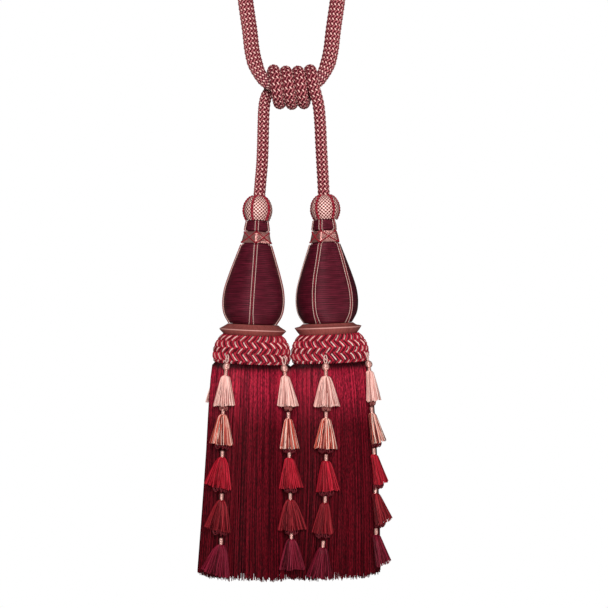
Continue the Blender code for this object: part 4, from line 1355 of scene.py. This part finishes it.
# Painted shade and highlight down each thread: near black for the first few millimetres under the collar, as
# the collar's painted shadow, then a bright band where the threads bow out, as a painted highlight, then
# darker towards the bottom.
painted_shade_and_highlight = colour_steps(attribute(tree, "fallen"), (
    (0.0, (0.08, 0.08, 0.08)), (0.022, (0.10, 0.10, 0.10)), (0.045, (0.90, 0.90, 0.90)),
    (0.12, (1.0, 1.0, 1.0)), (0.30, (0.36, 0.22, 0.26)), (1.0, (0.27, 0.15, 0.18)),
))
paint(shader, mix_colour(1.0, colour_steps(tone, SKIRT_DYES), painted_shade_and_highlight, "MULTIPLY"))

# The solid core under the loose threads is painted near black: painted shade of the threads deeper in the
# skirt.
skirt_core, tree, shader = new_finish("skirt_core", 0.6, specular=0.05)
round_core, down_core = uv_parts(tree)
threads = add_threads(round_core, down_core, 0.0006, 0.05)
colour = colour_steps(threads["Streaks"], (
    (0.30, (0.010, 0.001, 0.002)), (0.70, (0.050, 0.001, 0.005)),
))
paint(shader, colour, threads["Ridges"], 0.0003)

THREADS_FROM = 0.003       # above the skirt's top, hidden in the collar
CORE_INSIDE = 0.0016
CORE_TOP = (SKIRT_TOP - 0.0024, 0.0262)
CORE_END = (SKIRT_END - 0.0026, 0.0383)
CORE_STEPS = 96
CORE_ROUND = 0.22          # metres round the core, for its threads

for side_name, tassel in TASSELS.items():
    ball_x, ball_z = tassel["place"]
    loose = edge_object(f"{side_name}_skirt_threads", [])
    grow(
        loose, skirt_tree, threads=SKIRT_THREADS, levels=9, thread_width=SKIRT_THREAD_WIDTH,
        top=SKIRT_TOP - THREADS_FROM, fall=SKIRT_END - SKIRT_TOP + THREADS_FROM,
        ragged=SKIRT_RAGGED, depth=SKIRT_DEPTH, side=float(tassel["side"]), middle=abs(ball_x),
        lean=math.radians(tassel["lean"]), sway=tassel["sway"], bow=tassel["bow"],
        seed=tassel["seed"], ball=(ball_x, 0.0, ball_z), material=skirt_thread,
    )
    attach(loose, "root")
    levels = [CORE_TOP] + smooth_profile(SKIRT_PROFILE, 12)[:-1] + [CORE_END]
    rings = []
    for depth, radius in levels:
        azimuths = [360 / CORE_STEPS * j for j in range(CORE_STEPS)]
        inner = radius - CORE_INSIDE
        rings.append([skirt_point(tassel, azimuth, inner, depth, CORE_INSIDE) for azimuth in azimuths])
    depths = [depth for depth, radius in levels]
    core = piece_from_rings(f"{side_name}_skirt_core", tassel, rings, CORE_ROUND, depths)
    core.data.materials.append(skirt_core)
    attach(core, "root")
    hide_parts(f"{side_name}_skirt")


# ---- Strings of drops ----------------------------------------------------
# Five on each tassel: a thread caught under the collar, a satin bead, and
# five small cut tassels tied one below another, each in its own colour.
DROPS_PER_STRING = 5
DROP_PITCH = 0.0320
DROP_LENGTH = 0.0222
DROP_WIDTH = 0.0190
DROP_DEPTH = 0.0100
DROP_CLEARANCE = 0.0012
BEAD_RADIUS = 0.0029
BEAD_DEPTH = 0.1244
BEAD_OUT = 0.0326          # middle of the bead out from the axis
THREAD_LENGTH = 0.0095
THREAD_STANDOFF = 0.0017
NECK_RADIUS = 0.0011
NECK_WINDING = 0.0003      # the silk wound over a neck
NECK_LENGTH = 0.0064
# a drop's outline: (share of its length, half width, half depth)
DROP_SHAPE = (
    (0.0, 0.0009, 0.0009), (0.025, 0.0026, 0.0020), (0.07, 0.0037, 0.0028), (0.22, 0.0048, 0.0031),
    (0.45, 0.0063, 0.0036), (0.72, 0.0079, 0.0043), (1.0, DROP_WIDTH / 2, DROP_DEPTH / 2),
)
DROP_THREADS = 118
DROP_THREAD_WIDTH = 0.00052
DROP_RIPPLE = 0.05         # radians that a thread waves to and fro
DROP_LAYERS = 0.26         # share of its size through which the threads lie
DROP_HEM_WAVE = 0.0003
DROP_SHOULDER = 0.1        # share of its length above which no drop is wider
CORE_FILL = 0.88           # the core's size to the drop's
CORE_SHARE = 0.95          # and its length
NECK_UP = 0.0048           # that a neck's winding goes up at most
NECK_END_RADIUS = 0.0008
HEM_TO_NECK = 0.0022       # from a hem to the winding below
BODY_ROUND = 0.030         # metres round a small body, for its threads

# Strings of drops: degrees round the axis at the bead, at the first drop's hem
# and at the last one's, the way the drops face (None: straight out), and how
# far the first and the last stand off the skirt.
STRINGS = {
    "left": (
        {"turn": (-34, -31.2, -24.0), "face": None, "off": (0.0, 0.0)},
        {"turn": (53, 46.8, 46.0), "face": 0, "off": (0.0026, 0.0052)},
        {"turn": (146, 146, 146), "face": None, "off": (0.0, 0.0)},
        {"turn": (182, 182, 180), "face": None, "off": (0.0, 0.0)},
        {"turn": (-128, -129, -150), "face": None, "off": (0.0, 0.0)},
    ),
    "right": (
        {"turn": (-8, -9, -12), "face": None, "off": (0.0, 0.0)},
        {"turn": (63.6, 50.0, 47.5), "face": 60, "off": (0.0, 0.0)},
        {"turn": (140, 140, 140), "face": None, "off": (0.0, 0.0)},
        {"turn": (177, 177, 177), "face": None, "off": (0.0, 0.0)},
        {"turn": (-146, -146, -146), "face": None, "off": (0.0, 0.0)},
    ),
}
# The drops of the five strings in sight, in millimetres: how much lower than
# its even place each one hangs, how far its hem swings to the right and
# stands outwards, and its width.
FRONT_DROPS = {
    ("left", 0): (
        (0.4, 0.8, 0.0, 18.6), (-2.5, -1.2, 0.0, 20.2), (-2.3, -3.4, 0.3, 24.0),
        (-2.2, -3.2, 0.2, 23.4), (-1.0, -4.6, 0.2, 23.8),
    ),
    ("left", 1): (
        (-1.0, 0.0, 0.0, 16.4), (-1.0, 0.4, 0.0, 14.8), (-3.3, 0.8, 0.0, 18.8),
        (-3.8, 0.8, 0.0, 22.2), (-6.3, 0.8, 0.0, 20.6),
    ),
    ("left", 4): (
        (2.2, 0.0, 0.0, 19.0), (-0.6, -2.0, 0.0, 18.4), (-1.2, -1.6, 0.0, 18.8),
        (-0.4, -1.4, 0.0, 18.2), (-1.6, -1.4, 0.0, 19.2),
    ),
    ("right", 0): (
        (0.4, 0.8, 0.0, 20.0), (-0.2, -0.4, 0.0, 17.8), (-0.2, 2.0, 0.0, 18.8),
        (-1.0, -0.8, 0.0, 16.4), (0.2, -1.2, 0.0, 20.0),
    ),
    ("right", 1): (
        (-1.4, 1.0, 1.7, 15.0), (-1.5, 2.0, 3.5, 15.4), (-2.0, 2.4, 4.1, 14.0),
        (-4.6, 3.0, 5.2, 22.0), (-5.2, 2.9, 5.0, 18.8),
    ),
}

drop_tree, drop, drop_out = new_geometry_tree("small_tassels", (
    ("Threads", "NodeSocketInt", 120), ("Thread Width", "NodeSocketFloat", 0.0006),
    ("Ragged", "NodeSocketFloat", 0.0007), ("Seed", "NodeSocketInt", 1),
    ("Pale", "NodeSocketMaterial"), ("Mixed", "NodeSocketMaterial"),
    ("Crimson", "NodeSocketMaterial"), ("Brick", "NodeSocketMaterial"),
    ("Plum", "NodeSocketMaterial"),
))
drop_curve = field_from(drop_tree, "GeometryNodeMeshToCurve", {"Mesh": drop["Geometry"]})
drop_hairs, number = copies_of(drop_curve, drop["Threads"])
drop_number = named(drop_tree, "string_number")
spin, layer, uneven, tint, phase = random_numbers(drop["Seed"], drop_number * 1000.0 + number, (
    (0.0, 1.0), (0.0, 1.0), (0.0, 1.0), (0.0, 1.0), (0.0, FULL_TURN),
))
fallen = along_spline(drop_tree, "Factor")
ripple = calc("SINE", fallen * 5.0 + phase)
hair_turn = ripple * DROP_RIPPLE + (number + spin) / drop["Threads"] * (2 * math.pi)
sideways = calc("SINE", hair_turn) * named(drop_tree, "half_width")
outwards = calc("COSINE", hair_turn) * named(drop_tree, "half_depth")
along_x = named(drop_tree, "along_x")
along_y = named(drop_tree, "along_y")
fill = calc("POWER", layer, 1.5) * -DROP_LAYERS + 1.0
hem_wave = calc("SINE", hair_turn * 5.0 + drop_number)
lower = hem_wave * DROP_HEM_WAVE * fallen + uneven * drop["Ragged"] * fallen
lower = lower - sideways * named(drop_tree, "tilt") - outwards * named(drop_tree, "tip")
offset = combine(
    drop_tree, X=(sideways * along_x + outwards * along_y) * fill,
    Y=(sideways * along_y - outwards * along_x) * fill, Z=lower * -1.0,
)
drop_hair, (tint_kept, fallen_kept) = keep_on_points(
    drop_hairs, tint=("FLOAT", tint), fallen=("FLOAT", fallen),
)
drop_set = field_from(
    drop_tree, "GeometryNodeSetPosition", {"Geometry": drop_hair, "Offset": offset},
)
drop_mesh = sweep(drop_set, round_section(drop_tree, 3, drop["Thread Width"] * 0.5))
drop_mesh = store(store(drop_mesh, "tint", tint_kept), "fallen", fallen_kept)
colour_number = named(drop_tree, "colour_number")
for level, label in enumerate(("Pale", "Mixed", "Crimson", "Brick", "Plum")):
    chosen = calc("GREATER_THAN", colour_number, level - 0.5)
    drop_mesh = with_material(drop_mesh, drop[label], Selection=chosen)
set_input(drop_out["Geometry"], smooth_and_real(drop_mesh))

# The colours of the five drops of a string, from the top: the dyes of the
# loose threads, and the light and dark of the imported ones inside, painted
# darker than the threads as painted shade of the threads deeper in.
DROP_COLOURS = {
    "pale": (
        (
            (0.0, (0.30, 0.10, 0.08)), (0.18, (0.62, 0.29, 0.25)), (0.6, (0.84, 0.49, 0.43)),
            (1.0, (0.92, 0.62, 0.55)),
        ),
        (0.54, 0.24, 0.21), (0.30, 0.09, 0.08),
    ),
    "mixed": (
        (
            (0.0, (0.07, 0.006, 0.006)), (0.16, (0.10, 0.010, 0.010)), (0.24, (0.58, 0.070, 0.040)),
            (0.44, (0.50, 0.090, 0.060)), (0.54, (0.94, 0.68, 0.56)), (0.72, (0.86, 0.56, 0.47)),
            (0.82, (0.24, 0.030, 0.030)), (1.0, (0.60, 0.15, 0.11)),
        ),
        (0.40, 0.12, 0.09), (0.16, 0.03, 0.03),
    ),
    "crimson": (
        ((0.0, (0.12, 0.002, 0.006)), (0.5, (0.34, 0.007, 0.018)), (1.0, (0.58, 0.020, 0.042))),
        (0.22, 0.004, 0.010), (0.09, 0.001, 0.004),
    ),
    "brick": (
        ((0.0, (0.05, 0.001, 0.003)), (0.5, (0.17, 0.006, 0.011)), (1.0, (0.33, 0.022, 0.030))),
        (0.10, 0.003, 0.006), (0.03, 0.001, 0.002),
    ),
    "plum": (
        ((0.0, (0.040, 0.001, 0.004)), (0.5, (0.130, 0.004, 0.014)), (1.0, (0.250, 0.016, 0.040))),
        (0.07, 0.002, 0.007), (0.02, 0.001, 0.003),
    ),
}
drop_threads = {}
drop_cores = []
for label, (steps, light, dark) in DROP_COLOURS.items():
    drop_threads[label], tree, shader = new_finish(f"drop_{label}", 0.42, specular=0.12)
    paint(shader, colour_steps(attribute(tree, "tint"), steps))
    # The drop cores are painted darker than their threads: painted shade of the threads inside.
    drop_core, tree, shader = new_finish(f"core_{label}", 0.5, specular=0.08)
    threads = add_threads(*uv_parts(tree), 0.0004, 0.03)
    paint(shader, mix_colour(threads["Streaks"], light, dark), threads["Ridges"], 0.0002)
    drop_cores.append(drop_core)

bead_satin, tree, shader = new_finish("bead_satin", 0.28, metallic=0.6)
round_bead, down_bead = uv_parts(tree)
threads = add_threads(down_bead, round_bead, 0.0004, 0.004)
colour = mix_colour(threads["Bundles"], (0.86, 0.50, 0.44), (0.58, 0.26, 0.22))
paint(shader, colour, threads["Ridges"], 0.00010)
# The dark loops are partly the dark looped thread and partly painted shadow under the drops' hems.
dark_loop = yarn_finish("dark_loop", (0.19, 0.008, 0.017), (0.06, 0.002, 0.006), 0.5)
rosy_loop = yarn_finish("rosy_loop", (0.46, 0.14, 0.12), (0.15, 0.03, 0.03), 0.45)


def string_centre(tassel, string, depth):
    """Middle of a string: it lies on the skirt and turns a little as it falls."""
    top, first, end = string["turn"]
    first_hem = BEAD_DEPTH + NECK_LENGTH + DROP_LENGTH
    out = share_between(depth, BEAD_DEPTH, first_hem)
    down = share_between(depth, first_hem, first_hem + DROP_PITCH * (DROPS_PER_STRING - 1))
    azimuth = top + (first - top) * out + (end - first) * down
    if depth < BEAD_DEPTH:
        up = (BEAD_DEPTH - depth) / THREAD_LENGTH
        collar = max(radius for depth, radius in COLLAR_PROFILE) + THREAD_STANDOFF
        return around(azimuth, BEAD_OUT + (collar - BEAD_OUT) * up, depth), azimuth
    off = string["off"][0] + (string["off"][1] - string["off"][0]) * down
    hem_out = radius_at(SKIRT_PROFILE, max(depth, first_hem))
    hem_out += DROP_CLEARANCE + DROP_DEPTH / 2 + off
    return hang_point(tassel, azimuth, BEAD_OUT + (hem_out - BEAD_OUT) * out, depth), azimuth


def string_axes(tassel, string, depth):
    """Centre, sideways and outward directions of a string at a depth."""
    centre, azimuth = string_centre(tassel, string, depth)
    face = math.radians(azimuth if string["face"] is None else string["face"])
    along = Vector((math.cos(face), math.sin(face), 0.0))
    outward = Vector((math.sin(face), -math.cos(face), 0.0))
    return centre, along, outward


def drop_places(side_name, number):
    """For each drop of a string: lower, swing, stand out and width, in metres."""
    if (side_name, number) in FRONT_DROPS:
        places = FRONT_DROPS[side_name, number]
    else:
        rng = random.Random(TASSELS[side_name]["seed"] * 10 + number)
        places = []
        for i in range(DROPS_PER_STRING):
            lower = rng.uniform(-2.0, 0.2)
            swing = rng.uniform(-1.2, 1.2)
            width = rng.uniform(17.8, 19.8)
            places.append((lower, swing, 0.2, width))
    return [tuple(value / 1000 for value in place) for place in places]


def drop_top(i, lower):
    """Depth of the neck of a string's drop."""
    return BEAD_DEPTH + NECK_LENGTH + DROP_PITCH * i + lower


def wider(width, share):
    """A drop's width to the even one; a wide drop has no wider shoulder."""
    return width / DROP_WIDTH if share > DROP_SHOULDER else min(1.0, width / DROP_WIDTH)


def small_turned(bm, tassel, string, uv_layer, levels, steps, material_index):
    """Add a closed little body on a string from (depth, half width, half depth, lean) levels."""
    rings = []
    for depth, half_width, half_depth, lean in levels:
        centre, along, outward = string_axes(tassel, string, depth)
        ring = []
        for j in range(steps):
            turn = 2 * math.pi * j / steps
            across = half_width * math.sin(turn)
            out = half_depth * math.cos(turn)
            place = centre + along * (across + lean[0]) + outward * (out + lean[1])
            lift = (lean[0] ** 2 + lean[1] ** 2) / 2
            place.z += (lean[0] * across + lean[1] * out + lift) / DROP_LENGTH
            ring.append(bm.verts.new(place))
        rings.append(ring)
    faces = [bm.faces.new(rings[0]), bm.faces.new(list(reversed(rings[-1])))]
    depths = [level[0] for level in levels]
    faces += skin_rings(bm, uv_layer, rings, BODY_ROUND, depths, reverse=True)
    for face in faces:
        face.smooth = True
        face.material_index = material_index


def add_drop_threads(name, side_name, tassel, string, number):
    """The cut threads of a string's five drops."""
    values = {label: [] for label in ("half_width", "half_depth", "along_x", "along_y",
                                      "tilt", "tip", "string_number", "colour_number")}
    routes = []
    for i, (lower, swing, stand_out, width) in enumerate(drop_places(side_name, number)):
        top = drop_top(i, lower)
        route = []
        for share, half_width, half_depth in DROP_SHAPE:
            centre, along, outward = string_axes(tassel, string, top + DROP_LENGTH * share)
            centre += (along * swing + outward * stand_out) * share
            centre.z += (swing ** 2 + stand_out ** 2) / 2 * share ** 2 / DROP_LENGTH
            route.append(tassel_frame(tassel) @ centre)
            values["half_width"].append(half_width * wider(width, share))
            values["half_depth"].append(half_depth)
            values["along_x"].append(along.x)
            values["along_y"].append(along.y)
            values["tilt"].append(swing * share / DROP_LENGTH)
            values["tip"].append(stand_out * share / DROP_LENGTH)
            values["string_number"].append(float(number * 5 + i))
            values["colour_number"].append(float(i))
        routes.append(route)
    drops = edge_object(f"{name}_threads", routes)
    for label, numbers in values.items():
        keep_numbers(drops.data, label, numbers)
    grow(
        drops, drop_tree, threads=DROP_THREADS, thread_width=DROP_THREAD_WIDTH, ragged=0.0007,
        seed=tassel["seed"] + number, **drop_threads,
    )
    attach(drops, "root")
    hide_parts(f"{side_name}_drops_{number + 1}")


def add_bodies(name, side_name, tassel, string, number):
    """A string's bead, and the bound neck and the core of each drop."""
    bm = bmesh.new()
    uv_layer = bm.loops.layers.uv.new("UVMap")
    straight = (0.0, 0.0)
    bead = []
    for k in range(9):
        turn = math.pi * (k + 0.35) / 8.7
        radius = BEAD_RADIUS * math.sin(turn)
        bead.append((BEAD_DEPTH - BEAD_RADIUS * math.cos(turn), radius, radius, straight))
    small_turned(bm, tassel, string, uv_layer, bead, 14, 0)
    above = BEAD_DEPTH + BEAD_RADIUS - 0.0004
    wound = NECK_RADIUS + NECK_WINDING
    for i, (lower, swing, stand_out, width) in enumerate(drop_places(side_name, number)):
        top = drop_top(i, lower)
        above = max(above, top - NECK_UP)
        neck = [
            (depth, radius, radius, straight) for depth, radius in (
                (above, NECK_END_RADIUS), (above + 0.0004, wound),
                (top, wound), (top + 0.0005, NECK_END_RADIUS),
            )
        ]
        small_turned(bm, tassel, string, uv_layer, neck, 10, 0)
        core = []
        for share, half_width, half_depth in DROP_SHAPE:
            share = min(share, CORE_SHARE)
            core.append((
                top + DROP_LENGTH * share,
                max(0.0004, half_width * wider(width, share) * CORE_FILL - 0.0003),
                max(0.0004, half_depth * CORE_FILL - 0.0003),
                (swing * share, stand_out * share),
            ))
        small_turned(bm, tassel, string, uv_layer, core, 18, i + 1)
        above = top + DROP_LENGTH + HEM_TO_NECK
    mesh = mesh_from(bm, f"{name}_body")
    mesh.transform(tassel_frame(tassel))
    for material in [bead_satin] + drop_cores:
        mesh.materials.append(material)
    body = add_object(f"{name}_body", mesh)
    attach(body, "root")


LOOPS_PER_TUFT = 10
TOP_TUFT = 1.25            # how wide the tufts are
LOWER_TUFT = 2.1
LOOP_REACH = 0.0040        # from the hem above down to the neck
LOOP_PLY = 0.00105
LOOP_INSIDE = 0.0008       # above the hem, among the threads


def add_loops(name, side_name, tassel, string, number):
    """The thread over the collar and the tuft of loops above each lower neck."""
    matrix = tassel_frame(tassel)
    eye = []
    for k in range(17):
        turn = 2 * math.pi * k / 16
        depth = BEAD_DEPTH - BEAD_RADIUS + 0.0004 - THREAD_LENGTH * 0.35 * (1 - math.cos(turn))
        centre, along, outward = string_axes(tassel, string, depth)
        eye.append(matrix @ (centre + along * 0.0012 * math.sin(turn)))
    routes = [eye]
    dyes = [0.0]
    places = drop_places(side_name, number)
    wide = min(1.0, places[0][3] / DROP_WIDTH)
    for i in range(DROPS_PER_STRING - 1):
        lower, swing, stand_out, width = places[i]
        hem = drop_top(i, lower) + DROP_LENGTH
        next_top = drop_top(i + 1, places[i + 1][0])
        reach = min(LOOP_REACH, next_top - hem - HEM_TO_NECK)
        for spoke in range(LOOPS_PER_TUFT):
            heading = 2 * math.pi * (spoke + 0.5) / LOOPS_PER_TUFT
            shorter = 0.78 + 0.22 * (spoke % 2)
            loop_route = []
            for k in range(11):
                turn = 2 * math.pi * k / 10
                drop_share = 0.5 * (1 - math.cos(turn))
                depth = hem - LOOP_INSIDE + (reach + LOOP_INSIDE) * drop_share * shorter
                centre, along, outward = string_axes(tassel, string, depth)
                away = 0.0004 + 0.0016 * math.sin(turn / 2) ** 0.7 + 0.0010 * math.sin(turn)
                away *= TOP_TUFT if i == 0 else LOWER_TUFT
                beside = along * math.cos(heading) + outward * math.sin(heading) * 0.75
                lean = (along * swing + outward * stand_out) * 0.8 * (1 - 0.6 * drop_share)
                loop_route.append(matrix @ (centre + lean + beside * away * wide))
            routes.append(loop_route)
            # Below the first drop the tufts are dark red: partly the dark looped thread, partly painted
            # shadow under the hems.
            dyes.append(1.0 if i == 0 else 2.0)
    loops = edge_object(f"{name}_loops", routes, dye=dyes)
    grow(
        loops, yarn_tree, spacing=0.0013, plies=1, ply_width=LOOP_PLY, twist_radius=0.0,
        pitch=SINGLE_PLY_PITCH, sides=4, material=pale_cord, second=rosy_loop, third=dark_loop,
    )
    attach(loops, "root")


for side_name, tassel in TASSELS.items():
    for number, string in enumerate(STRINGS[side_name]):
        string_name = f"{side_name}_string_{number + 1}"
        add_drop_threads(string_name, side_name, tassel, string, number)
        add_bodies(string_name, side_name, tassel, string, number)
        add_loops(string_name, side_name, tassel, string, number)
